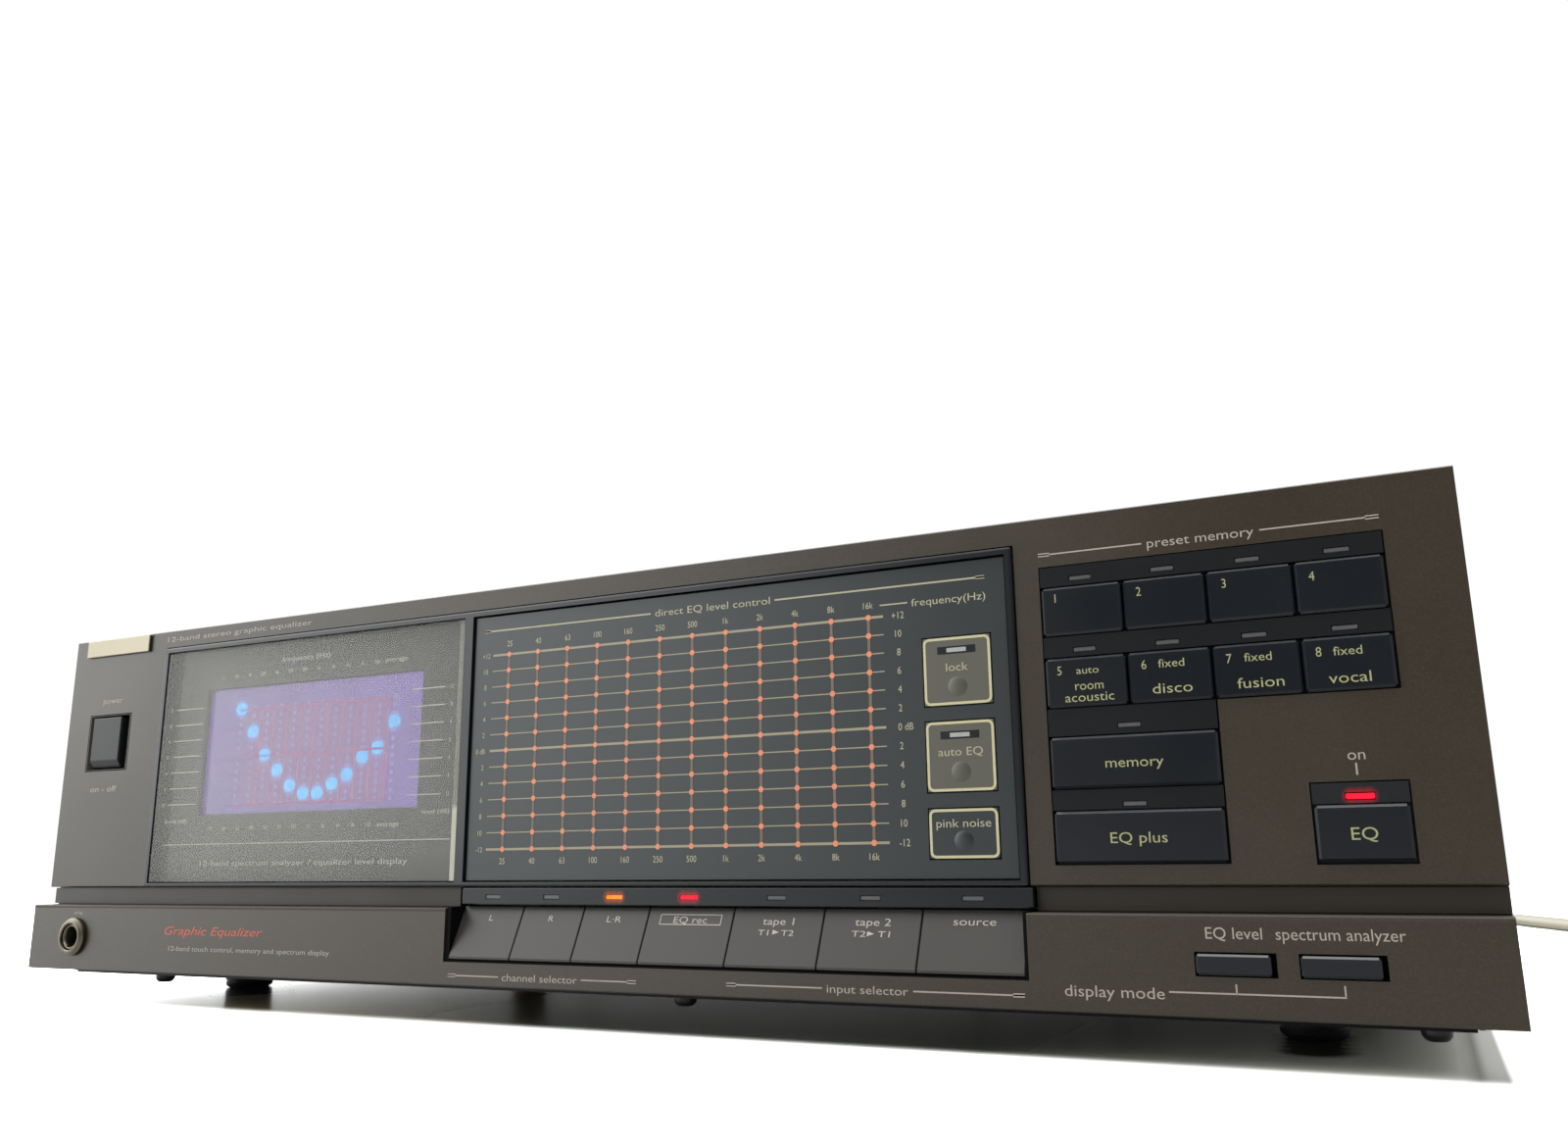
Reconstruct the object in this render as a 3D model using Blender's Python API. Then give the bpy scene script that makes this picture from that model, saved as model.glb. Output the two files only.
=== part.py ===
"""Full-width hi-fi graphic equalizer with a display window, a touch grid and sprung keys.

Every size below is in millimetres in the panel's own frame: x runs right from the fascia's left end,
y runs back from the upper fascia's face and z runs up from the seam under the upper fascia. An empty
at that datum carries all the pieces, so that the part's origin is on the table, under the middle of
its box.
"""

import math

import bmesh
import bpy
from mathutils import Matrix, Vector

MM = 0.001
GAP = 0.3

# Front panel
WIDTH = 430.0
UPPER_TOP = 83.4
PLATE = 3.0
GROOVE_Y = 2.0
LOWER_TOP = -5.6
LOWER_FACE = -4.8
LOWER_BOTTOM = -25.7
CHAMFER = 0.3
FRAME_BACK = 6.3
BEHIND = 8.0
THROUGH = (-9.0, 9.0)

# Case and feet
SHEET = 1.2
COVER_X = (7.0, 423.0)
COVER_TOP = 81.0
COVER_FOOT = -27.2
COVER_FRONT = 7.0
COVER_SKIN = 1.0
COVER_BEND = 2.0
COVER_VENTS = (60.0, 290.0)
COVER_VENT_COUNT = 14
COVER_VENT_PITCH = 6.0
COVER_VENT_WIDE = 2.4
COVER_VENT_Y = (190.0, 238.0)
TRAY_BACK = 263.5
TRAY_VENT_X = 311.5
TRAY_VENT_COUNT = 10
TRAY_VENT_PITCH = 7.0
TRAY_VENT_WIDE = 3.0
TRAY_VENT_Y = (150.0, 185.0)
REAR_Y = 265.0
REAR_Z = (-26.2, 79.4)
JACK_BLOCK_X = (110.0, 200.0)
JACK_Z = (11.0, 25.0)
JACK_PITCH = 18.0
CHASSIS_Z = -27.7
TRAY_TOP = -22.6
TABLE_Z = -35.2
FOOT_D = 16.0
FOOT_X = (41.0, 389.0)
FOOT_Y = (49.7, 209.2)

# Window, with the display on its left and the touch panel on its right
WINDOW_X = (46.5, 337.4)
WINDOW_TOP = 77.7
WINDOW_FOOT = 1.2
WINDOW_RIM = 2.0
BEZEL_FACE = -0.8
DIVIDER_X = (174.6, 177.5)
TUBE_X = (57.0, 156.0)
TUBE_Z = (19.4, 66.3)
TUBE_Y = (8.2, 13.4)
TOUCH_X = (177.8, 335.1)
TOUCH_Z = (1.5, 75.4)
TOUCH_KEY_X = (313.9, 331.1)
TOUCH_KEYS = {"lock_key": (40.9, 57.6), "auto_eq_key": (20.9, 37.7), "pink_noise_key": (5.8, 17.6)}

# Preset keys, in columns and rows, with the light window above each
PRESET_EDGES = (343.5, 361.9, 379.9, 397.7, 415.4)
PRESET_MIDDLES = [sum(pair) / 2 for pair in zip(PRESET_EDGES, PRESET_EDGES[1:])]
PRESET_ROWS = ((55.3, 66.4), (38.9, 50.0))
PRESET_TOP = 71.3
MEMORY_Z = (20.9, 32.2)
EQ_PLUS_Z = (4.7, 15.9)
EQ_X = (396.9, 414.9)
EQ_Z = (4.7, 15.8)
EQ_BEZEL_TOP = 20.2
LIGHT = (5.2, 1.2)
EQ_LIGHT = (5.6, 1.6)
PRESET_LIGHT_Z = (68.3, 51.8)
MEMORY_LIGHT = (361.4, 34.3)
EQ_PLUS_LIGHT = (361.4, 17.3)
EQ_LIGHT_AT = (405.9, 17.5)

# Selector keys on the lower fascia
SELECTOR_X = (175.5, 337.3)
SELECTOR_BOTTOM = -19.6
SELECTOR_EDGES = (177.0, 197.5, 217.2, 237.4, 262.1, 286.6, 311.4, 336.5)
SELECTOR_KEYS = ("channel_key_left", "channel_key_right", "channel_key_both", "eq_rec_key",
                 "tape_1_key", "tape_2_key", "source_key")
SELECTOR_LIGHT_X = (188.0, 207.4, 227.3, 249.7, 274.4, 299.0, 324.0)
SELECTOR_LIGHT_Z = -2.7
STRIP_X = (177.3, 337.9)
STRIP_Z = (-4.8, -0.3)

# Mode buttons, power button and microphone jack
MODE_HOLES = {"level_mode_button": (371.9, 387.7), "analyzer_mode_button": (391.8, 407.7)}
MODE_Z = (-17.7, -12.9)
POWER_WELL = ((10.9, 31.9), (37.9, 57.0))
POWER_CAP = ((13.4, 27.6), (38.9, 55.9))
JACK_AT = (21.5, -15.5)

# Faces of the keys and their bezels, and the stems behind the caps as width, height and end depth
KEY_FACE = -0.8
KEY_BACK = 1.2
KEY_SIDE = 0.22
KEY_EDGE = 0.55
BAND_FACE = -0.3
WELL_DEPTH = 2.4
KEY_STEM = (5.6, 3.6, 9.0)
STEM_HOLE = (7.0, 5.0)
TOUCH_STEM = (6.0, 4.0, 8.5)
MODE_STEM = (6.0, 2.4, 11.0)
POWER_STEM_Z = (44.4, 50.4)
POWER_STEM_END = 19.5

# Mains cord
CORD_D = 6.2
CORD_Z = TABLE_Z + CORD_D / 2 + 0.1
RELIEF_AT = (372.0, -14.0)
RELIEF_TIP = 297.0
LOOP_CENTRE = (437.0, 541.0)
LOOP_R = 26.0
ROUTE_OUT = (
    (372.0, RELIEF_TIP + GAP, -14.0), (372.0, 309.0, -14.7), (372.5, 321.0, -17.6),
    (373.5, 335.0, -23.0), (375.0, 351.0, -28.6), (377.5, 370.0, -31.9), (381.0, 392.0, CORD_Z),
    (386.0, 418.0, CORD_Z), (392.0, 446.0, CORD_Z), (399.0, 474.0, CORD_Z), (405.5, 502.0, CORD_Z),
    (409.7, 523.0, CORD_Z),
)
LOOP_ANGLES = (178.0, 150.0, 120.0, 90.0, 60.0, 35.0)
ROUTE_BACK = ((464.6, 539.5, CORD_Z), (470.2, 525.0, CORD_Z), (475.0, 512.3, CORD_Z))
COIL_ENTRY = (488.5, 476.0)
COIL_HEADING = (0.349, -0.937)
COIL_WIDE = 2
COIL_HIGH = 4
COIL_MEAN_R = 4.7 * CORD_D
CLEAR_OF_COIL = 20.8
TAIL_REACH = 48.0
PLUG_AXIS_Z = TABLE_Z + 8.8
PLUG_SIZE = (25.0, 17.0, 34.0)
PRONG = (6.3, 1.5, 17.0)
PRONG_PITCH = 12.7

DATUM = Vector((-WIDTH / 2, -133.6, -TABLE_Z)) * MM


# ---------------------------------------------------------------- tools

def look(name, colour, roughness, metallic=0.0):
    """A Principled material, made once for each name."""
    made = bpy.data.materials.get(name)
    if made is None:
        made = bpy.data.materials.new(name)
        made.use_nodes = True
        shader = made.node_tree.nodes["Principled BSDF"]
        shader.inputs["Base Color"].default_value = (*colour, 1.0)
        shader.inputs["Roughness"].default_value = roughness
        shader.inputs["Metallic"].default_value = metallic
    return made


def place(name, bm, at, material=None):
    """The bmesh as an object of that name, whose origin is at the panel point at."""
    bmesh.ops.recalc_face_normals(bm, faces=bm.faces)
    mesh = bpy.data.meshes.new(name)
    bm.to_mesh(mesh)
    bm.free()
    piece = bpy.data.objects.new(name, mesh)
    bpy.context.scene.collection.objects.link(piece)
    piece.parent = datum
    piece.location = Vector(at) * MM
    if material:
        mesh.materials.append(material)
    return piece


def bevelled(piece, width, segments=2, angle=30.0):
    """Softens every edge sharper than the angle, in degrees."""
    bevel = piece.modifiers.new("edges", "BEVEL")
    bevel.width = width * MM
    bevel.segments = segments
    bevel.limit_method = "ANGLE"
    bevel.angle_limit = math.radians(angle)
    return piece


def rounded(piece, angle=35.0):
    """Smooth shading, except across edges sharper than the angle, in degrees."""
    piece.data.shade_smooth()
    piece.data.set_sharp_from_angle(angle=math.radians(angle))
    return piece


def add_box(bm, low, high, origin):
    """A box between two panel corners, in the frame of a piece whose origin is given."""
    low, high, origin = (Vector(p) * MM for p in (low, high, origin))
    size = high - low
    middle = (high + low) / 2 - origin
    bmesh.ops.create_cube(bm, size=1.0, matrix=Matrix.Translation(middle) @ Matrix.Diagonal((*size, 1.0)))


def loft(bm, sections):
    """A closed body through rectangles, each given as its x range, its z range and its depth."""
    rings = []
    for (left, right), (low, high), y in sections:
        corners = ((left, y, low), (right, y, low), (right, y, high), (left, y, high))
        rings.append([bm.verts.new(Vector(corner) * MM) for corner in corners])
    for near, far in zip(rings, rings[1:]):
        for i in range(4):
            j = (i + 1) % 4
            bm.faces.new((near[i], near[j], far[j], far[i]))
    bm.faces.new(rings[0])
    bm.faces.new(reversed(rings[-1]))


def block(name, x, y, z, material, bevel=0.0):
    """A box, with its origin in the middle of its front face."""
    at = (sum(x) / 2, y[0], sum(z) / 2)
    bm = bmesh.new()
    add_box(bm, (x[0], y[0], z[0]), (x[1], y[1], z[1]), at)
    piece = place(name, bm, at, material)
    return bevelled(piece, bevel) if bevel else piece


def prism(name, outline, plane, span, material=None):
    """An outline of two-number points pushed along the axis that isn't in its plane."""
    order = {"yz": (2, 0, 1), "xz": (0, 2, 1), "xy": (0, 1, 2)}[plane]
    bm = bmesh.new()
    ends = []
    for along in span:
        ring = [(*point, along) for point in outline]
        ends.append([bm.verts.new(Vector([p[i] for i in order]) * MM) for p in ring])
    bm.faces.new(ends[0])
    bm.faces.new(reversed(ends[1]))
    count = len(outline)
    for i in range(count):
        j = (i + 1) % count
        bm.faces.new((ends[0][i], ends[1][i], ends[1][j], ends[0][j]))
    return place(name, bm, (0, 0, 0), material)


def turned(name, profile, at, axis, material=None, steps=32):
    """A closed outline of (radius, height) points turned about an axis through at."""
    bm = bmesh.new()
    points = [bm.verts.new((r * MM, 0.0, h * MM)) for r, h in profile]
    pairs = list(zip(points, points[1:] + points[:1]))
    edges = [bm.edges.new(pair) for pair in pairs if any(p.co.x > 0 for p in pair)]
    bmesh.ops.spin(bm, geom=points + edges, cent=(0, 0, 0), axis=(0, 0, 1), dvec=(0, 0, 0),
                   angle=math.tau, steps=steps, use_merge=True)
    bmesh.ops.remove_doubles(bm, verts=bm.verts, dist=1e-6)
    turn = Vector((0, 0, 1)).rotation_difference(Vector(axis)).to_matrix().to_4x4()
    bmesh.ops.transform(bm, matrix=turn, verts=bm.verts)
    return rounded(place(name, bm, at, material))


def helper(name, bm, at=(0, 0, 0)):
    """The bmesh as an object that only cuts or joins others."""
    return hidden(place(name, bm, at))


def hidden(piece):
    """Marks a cutter, which is no piece of the object."""
    piece.hide_render = True
    piece.display_type = "WIRE"
    return piece


def boxes(name, ranges):
    """One helper of separate boxes, each given as its x, y and z ranges."""
    bm = bmesh.new()
    for x, y, z in ranges:
        add_box(bm, (x[0], y[0], z[0]), (x[1], y[1], z[1]), (0, 0, 0))
    return helper(name, bm)


def combine(piece, other, operation="DIFFERENCE"):
    """Cuts the other shape out of the piece, or joins it on."""
    step = piece.modifiers.new(operation.lower(), "BOOLEAN")
    step.operation = operation
    step.solver = "EXACT"
    step.object = other
    return piece


def arc(centre, radius, start, end, steps):
    """Points on a circle from one angle to another, in degrees."""
    turns = [math.radians(start + (end - start) * i / steps) for i in range(steps + 1)]
    return [(centre[0] + radius * math.cos(t), centre[1] + radius * math.sin(t)) for t in turns]


def around(middle, size):
    """The range of a size about a middle."""
    return middle - size / 2, middle + size / 2


def grown(span, by):
    """A range with both of its ends moved out."""
    return span[0] - by, span[1] + by


def recentre(piece, at):
    """Moves a piece's origin to a panel point without moving its surface."""
    piece.data.transform(Matrix.Translation(-at * MM))
    piece.location = at * MM


# ---------------------------------------------------------------- case

def make_top_cover():
    """A folded U of painted sheet with two banks of vent slots in its top."""
    left, right = COVER_X
    left_bend = (left + COVER_BEND, COVER_TOP - COVER_BEND)
    right_bend = (right - COVER_BEND, COVER_TOP - COVER_BEND)
    inside = COVER_BEND - COVER_SKIN
    outer = [(left, COVER_FOOT)] + arc(left_bend, COVER_BEND, 180, 90, 3)
    outer += arc(right_bend, COVER_BEND, 90, 0, 3) + [(right, COVER_FOOT)]
    inner = [(right - COVER_SKIN, COVER_FOOT)] + arc(right_bend, inside, 0, 90, 3)
    inner += arc(left_bend, inside, 90, 180, 3) + [(left + COVER_SKIN, COVER_FOOT)]
    cover = prism("top_cover", outer + inner, "xz", (COVER_FRONT, REAR_Y), cover_paint)
    slots = []
    for bank in COVER_VENTS:
        for i in range(COVER_VENT_COUNT):
            x = bank + COVER_VENT_PITCH * i
            slots.append(((x, x + COVER_VENT_WIDE), COVER_VENT_Y, around(COVER_TOP, 6.0)))
    return combine(cover, boxes("cover_slots", slots))


def make_chassis():
    """A folded steel tray with slots under the transformer."""
    x = grown(COVER_X, -COVER_SKIN - GAP)
    tray = block("bottom_chassis", x, (COVER_FRONT, TRAY_BACK), (CHASSIS_Z, TRAY_TOP), steel)
    hollow = (grown(x, -SHEET), (COVER_FRONT + SHEET, TRAY_BACK - SHEET), (CHASSIS_Z + SHEET, 0.0))
    combine(tray, boxes("tray_hollow", [hollow]))
    slots = [(around(TRAY_VENT_X + TRAY_VENT_PITCH * i, TRAY_VENT_WIDE), TRAY_VENT_Y, around(CHASSIS_Z, 6.0))
             for i in range(TRAY_VENT_COUNT)]
    return combine(tray, boxes("tray_slots", slots))


def make_rear_panel():
    """A flat sheet with a window for each jack block and a round hole for the cord."""
    x = grown(COVER_X, -COVER_SKIN - 2 * GAP)
    panel = block("rear_panel", x, (REAR_Y - SHEET, REAR_Y), REAR_Z, steel)
    depth, height = around(REAR_Y, 20.0), around(sum(JACK_Z) / 2, 24.0)
    windows = [(around(middle, 66.0), depth, height) for middle in JACK_BLOCK_X]
    combine(panel, boxes("jack_windows", windows))
    bore = [(0, 0), (5.4, 0), (5.4, 10), (0, 10)]
    hole = hidden(turned("cord_hole", bore, (RELIEF_AT[0], REAR_Y + 4, RELIEF_AT[1]), (0, -1, 0), steps=24))
    return combine(panel, hole)


def make_feet():
    """Four moulded feet with a rounded lower edge and a locating stub."""
    radius = FOOT_D / 2
    height = CHASSIS_Z - GAP - TABLE_Z
    profile = [(0, 0), (radius - 2.2, 0), (radius - 1.2, 0.4), (radius - 0.5, 1.4), (radius, height),
               (0, height)]
    for x, side in zip(FOOT_X, ("left", "right")):
        for y, end in zip(FOOT_Y, ("front", "rear")):
            turned(f"foot_{end}_{side}", profile, (x, y, TABLE_Z), (0, 0, 1), rubber, 28)


# ---------------------------------------------------------------- front panel

def make_upper_fascia():
    """The upper plate, open below for the window and pierced for the keys and the power button."""
    edge = CHAMFER
    section = [(edge, 0), (0, edge), (0, UPPER_TOP - edge), (edge, UPPER_TOP), (PLATE, UPPER_TOP), (PLATE, 0)]
    fascia = prism("upper_fascia", section, "yz", (0, WIDTH), bronze)
    combine(fascia, boxes("fascia_window", [(WINDOW_X, THROUGH, (-4.0, WINDOW_TOP))]))
    wells = [(POWER_WELL[0], THROUGH, POWER_WELL[1]),
             (grown(EQ_X, GAP), THROUGH, (EQ_Z[0] - 2 * GAP, EQ_BEZEL_TOP + GAP))]
    combine(fascia, boxes("fascia_wells", wells))
    return combine(fascia, hidden(prism("fascia_preset_well", preset_outline(GAP), "xz", THROUGH)))


def preset_outline(margin):
    """The L of the preset, memory and EQ plus keys, with a margin around it."""
    left, right = grown((PRESET_EDGES[0], PRESET_EDGES[4]), margin)
    corner = PRESET_EDGES[2] + margin
    low, top = grown((EQ_PLUS_Z[0], PRESET_TOP), margin)
    step = PRESET_ROWS[1][0] - margin
    return [(left, low), (corner, low), (corner, step), (right, step), (right, top), (left, top)]


def make_lower_fascia():
    """A deeper bar with closed ends, hollow behind, with a notch for the selector keys."""
    back = PLATE
    section = [(LOWER_FACE, LOWER_BOTTOM + CHAMFER), (LOWER_FACE, LOWER_TOP - CHAMFER),
               (LOWER_FACE + CHAMFER, LOWER_TOP), (back, LOWER_TOP), (back, LOWER_BOTTOM),
               (LOWER_FACE + CHAMFER, LOWER_BOTTOM)]
    fascia = prism("lower_fascia", section, "yz", (0, WIDTH), bronze)
    wall = 2.0
    depth = (LOWER_FACE + PLATE, BEHIND)
    height = grown((LOWER_BOTTOM, LOWER_TOP), -wall)
    hollows = [(wall, SELECTOR_X[0] - wall), (SELECTOR_X[1] + wall, WIDTH - wall)]
    combine(fascia, boxes("lower_hollows", [(x, depth, height) for x in hollows]))
    combine(fascia, boxes("selector_notch", [(SELECTOR_X, THROUGH, (SELECTOR_BOTTOM, 4.0))]))
    combine(fascia, boxes("mode_holes", [(x, (THROUGH[0], 0.0), MODE_Z) for x in MODE_HOLES.values()]))
    hole = [(0, 0), (4.3, 0), (4.3, 9), (0, 9)]
    bore = hidden(turned("jack_bore", hole, (JACK_AT[0], 0, JACK_AT[1]), (0, -1, 0), steps=28))
    return combine(fascia, bore)


def make_front_frame():
    """The moulded carrier behind both fascias, whose rib shows as the floor of the groove."""
    step = GROOVE_Y
    near = PLATE + GAP
    low, top = grown((LOWER_BOTTOM, UPPER_TOP), -2 * GAP)
    section = [(step, LOWER_TOP + GAP), (step, -GAP), (near, -GAP), (near, top), (FRAME_BACK, top),
               (FRAME_BACK, low), (near, low), (near, LOWER_TOP + GAP)]
    frame = prism("front_frame", section, "yz", (0, WIDTH), bronze_shade)
    openings = [
        (grown(WINDOW_X, -1.5), (1.0, WINDOW_TOP - 1.2)),
        ((SELECTOR_X[0] - 2 * GAP, STRIP_X[1] + GAP), (SELECTOR_BOTTOM, 0.4)),
        POWER_WELL,
        (grown((PRESET_EDGES[0], PRESET_EDGES[4]), -2.0), grown((PRESET_ROWS[1][0], PRESET_TOP), -1.0)),
        (grown((PRESET_EDGES[0], PRESET_EDGES[2]), -2.0), (EQ_PLUS_Z[0] + 1, MEMORY_LIGHT[1] + 1.5)),
        (grown(EQ_X, -2.0), (EQ_Z[0] + 1, EQ_BEZEL_TOP - 1)),
        ((370.0, 409.4), grown(MODE_Z, 1.0)),
        (around(JACK_AT[0], 14.0), around(JACK_AT[1], 14.0)),
    ]
    return combine(frame, boxes("frame_openings", [(x, (0.0, THROUGH[1]), z) for x, z in openings]))


def make_window():
    """The bezel around both halves, the smoked window, its mask and the glass display behind it."""
    depth = (BEZEL_FACE, PLATE - 0.1)
    bezel = block("window_bezel", grown(WINDOW_X, -GAP), depth, (0.0, WINDOW_TOP - GAP), black_gloss, 0.6)
    left = (WINDOW_X[0] + WINDOW_RIM, DIVIDER_X[0])
    right = (DIVIDER_X[1], WINDOW_X[1] - WINDOW_RIM)
    height = (WINDOW_FOOT, WINDOW_TOP - WINDOW_RIM)
    combine(bezel, boxes("bezel_panes", [(x, THROUGH, height) for x in (left, right)]))
    block("display_window", grown(left, -GAP), (-0.5, 2.3), grown(height, -GAP), smoke, 0.25)
    mask_x = (WINDOW_X[0] + 1.8, DIVIDER_X[0] + 1.0)
    mask = block("display_mask", mask_x, (6.6, 7.6), (1.4, WINDOW_TOP - 1.6), black_matt)
    combine(mask, boxes("mask_pane", [(grown(TUBE_X, -3.0), (0.0, 12.0), grown(TUBE_Z, -3.0))]))
    block("fl_display", TUBE_X, TUBE_Y, TUBE_Z, tube_glass, 0.5)


def make_touch_panel():
    """A printed panel with a pocket for each of its three pressed keys."""
    panel = block("touch_panel", TOUCH_X, (0.1, 2.6), TOUCH_Z, slate, 0.2)
    combine(panel, boxes("touch_pockets", [(TOUCH_KEY_X, THROUGH, z) for z in TOUCH_KEYS.values()]))
    for name, z in TOUCH_KEYS.items():
        shade = slate if name == "pink_noise_key" else olive
        key(name, grown(TOUCH_KEY_X, -GAP), (0.0, 1.6), grown(z, -GAP), shade, 0.2, TOUCH_STEM)


def make_bezels():
    """The floors behind the preset and EQ keys, with a raised band for each row of lights."""
    middle = PRESET_EDGES[2]
    left, right = grown((PRESET_EDGES[0], PRESET_EDGES[4]), 2.0)
    bezel = prism("preset_bezel", preset_outline(0.0), "xz", (BAND_FACE, PLATE), black_matt)
    wells = [((left, right), grown(row, GAP)) for row in PRESET_ROWS]
    wells += [((left, middle + 2.0), grown(row, GAP)) for row in (MEMORY_Z, EQ_PLUS_Z)]
    for number, (x, z) in enumerate(wells, 1):
        combine(bezel, boxes(f"preset_well_{number}", [(x, (-3.0, WELL_DEPTH), z)]))
    lights = [(x, z) for x in PRESET_MIDDLES for z in PRESET_LIGHT_Z] + [MEMORY_LIGHT, EQ_PLUS_LIGHT]
    combine(bezel, boxes("preset_lights", [light_window(at, LIGHT) for at in lights]))
    stems = [(x, sum(z) / 2) for x in PRESET_MIDDLES for z in PRESET_ROWS]
    stems += [(MEMORY_LIGHT[0], sum(z) / 2) for z in (MEMORY_Z, EQ_PLUS_Z)]
    combine(bezel, boxes("preset_stems", [stem_window(at) for at in stems]))

    small = block("eq_bezel", EQ_X, (BAND_FACE, PLATE), (EQ_Z[0] - GAP, EQ_BEZEL_TOP), black_matt)
    combine(small, boxes("eq_well", [(grown(EQ_X, 2.0), (-3.0, WELL_DEPTH), (2.0, EQ_Z[1] + GAP))]))
    combine(small, boxes("eq_light", [light_window(EQ_LIGHT_AT, EQ_LIGHT)]))
    combine(small, boxes("eq_stem", [stem_window((EQ_LIGHT_AT[0], sum(EQ_Z) / 2))]))


def light_window(at, size):
    """The ranges of a hole for a light."""
    return around(at[0], size[0]), THROUGH, around(at[1], size[1])


def stem_window(at):
    """The ranges of a hole for a key's stem, through a bezel's floor."""
    return around(at[0], STEM_HOLE[0]), (1.0, THROUGH[1]), around(at[1], STEM_HOLE[1])


def make_power_bezel():
    """A liner whose faces slope in from the fascia to the power button."""
    x, z = (grown(span, -GAP) for span in POWER_WELL)
    liner = block("power_bezel", x, (0.0, 2.9), z, bronze_shade)
    throat = [grown(span, 0.4) for span in POWER_CAP]
    bm = bmesh.new()
    loft(bm, [(grown(x, -GAP), grown(z, -0.2), -0.01), (*throat, 2.0), (*throat, 5.0)])
    return combine(liner, helper("power_funnel", bm))


def make_selector_well():
    """A black trough around the selector keys: two cheeks and a floor."""
    left, right = grown(SELECTOR_X, -GAP)
    low, top = SELECTOR_BOTTOM + 0.05, -5.3
    left_cheek, right_cheek, floor = left + 1.3, right - 0.6, low + 0.4
    shape = [(left, low), (right, low), (right, top), (right_cheek, top), (right_cheek, floor),
             (left_cheek, floor), (left_cheek, top), (left, top)]
    return prism("selector_well", shape, "xz", (LOWER_FACE + 0.5, FRAME_BACK - GAP), black_matt)


def make_led_strip():
    """The black bar over the selector keys, with a window for each light."""
    strip = block("led_strip", STRIP_X, (-0.2, PLATE), STRIP_Z, black_gloss, 0.3)
    lights = [light_window((x, SELECTOR_LIGHT_Z), LIGHT) for x in SELECTOR_LIGHT_X]
    return combine(strip, boxes("strip_lights", lights))


def make_badge():
    """A blank metal plate at the top left."""
    return block("badge", (6.6, 38.3), (-0.9, -GAP), (77.2, 83.0), bright_metal, 0.25)


# ---------------------------------------------------------------- keys

def key(name, x, y, z, material, bevel, stem, segments=2):
    """A cap with a stem of the given width, height and end depth, as one body."""
    at = (sum(x) / 2, y[0], sum(z) / 2)
    wide, high, end = stem
    stem_x, stem_z = around(at[0], wide), around(at[2], high)
    bm = bmesh.new()
    loft(bm, [(x, z, y[0]), (x, z, y[1]), (stem_x, stem_z, y[1]), (stem_x, stem_z, end)])
    piece = place(name, bm, (0, 0, 0), material)
    recentre(piece, Vector(at))
    return bevelled(piece, bevel, segments)


def make_preset_keys():
    """Two rows of four keys, the two wide ones under them and the EQ key at the right."""
    keys = {}
    for row, z in enumerate(PRESET_ROWS):
        for column, edges in enumerate(zip(PRESET_EDGES, PRESET_EDGES[1:]), 1):
            keys[f"preset_key_{row * 4 + column}"] = (edges, z)
    keys["memory_key"] = ((PRESET_EDGES[0], PRESET_EDGES[2]), MEMORY_Z)
    keys["eq_plus_key"] = ((PRESET_EDGES[0], PRESET_EDGES[2]), EQ_PLUS_Z)
    keys["eq_key"] = (EQ_X, EQ_Z)
    for name, (x, z) in keys.items():
        key(name, grown(x, -KEY_SIDE), (KEY_FACE, KEY_BACK), z, key_black, KEY_EDGE, KEY_STEM, 1)


def make_selector_keys():
    """Wedge keys: each slopes back from its lower edge, flush with the fascia, to its upper one."""
    front, top_y, back = LOWER_FACE + 0.2, 1.6, 5.2
    bottom, top = SELECTOR_BOTTOM + 0.75, -5.2
    end = 11.0
    middle = (bottom + top) / 2
    stem_low, stem_top = around(middle, 4.4)
    for name, edges in zip(SELECTOR_KEYS, zip(SELECTOR_EDGES, SELECTOR_EDGES[1:])):
        x = grown(edges, -0.15)
        cap = [(front, bottom), (front, bottom + 0.7), (top_y, top), (back, top), (back, stem_top),
               (end, stem_top), (end, stem_low), (back, stem_low), (back, bottom)]
        piece = prism(name, cap, "yz", x, selector_grey)
        recentre(piece, Vector((sum(x) / 2, front, middle)))
        bevelled(piece, 0.18, 1)


def make_mode_buttons():
    """Two low buttons with broad chamfers."""
    for name, (left, right) in MODE_HOLES.items():
        x = (left + GAP, right - 1.1)
        z = (MODE_Z[0] + GAP, MODE_Z[1] - 0.4)
        key(name, x, (LOWER_FACE - 0.6, -1.2), z, key_black, 0.8, MODE_STEM, 1)


def make_power_button():
    """The latching button: a tall cap sloped along its foot, on a long stem to its switch."""
    (left, right), (low, high) = POWER_CAP
    stem_low, stem_high = POWER_STEM_Z
    face, back = -0.4, 5.6
    section = [(face + 1.5, low), (face, low + 2.4), (face, high), (back, high), (back, stem_high),
               (POWER_STEM_END, stem_high), (POWER_STEM_END, stem_low), (back, stem_low), (back, low)]
    button = prism("power_button", section, "yz", (left, right), key_black)
    recentre(button, Vector(((left + right) / 2, face, (low + high) / 2)))
    return bevelled(button, 0.35)


# ---------------------------------------------------------------- jacks and the inside

def make_mic_jack():
    """A 6.3 mm jack: a threaded bush with its bore, and the ring nut that holds it."""
    x, z = JACK_AT
    profile = [(3.2, 0.0), (4.0, 0.0), (4.0, 5.3), (6.4, 5.3), (6.4, 17.0), (3.2, 17.0)]
    turned("mic_jack", profile, (x, LOWER_FACE - 1.4, z), (0, 1, 0), jack_black, 28)
    nut = [(4.3, 0.0), (4.9, 0.0), (5.9, 0.9), (5.9, 1.7), (4.3, 1.7)]
    turned("mic_jack_nut", nut, (x, LOWER_FACE - 2.0, z), (0, 1, 0), nickel, 28)


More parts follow.
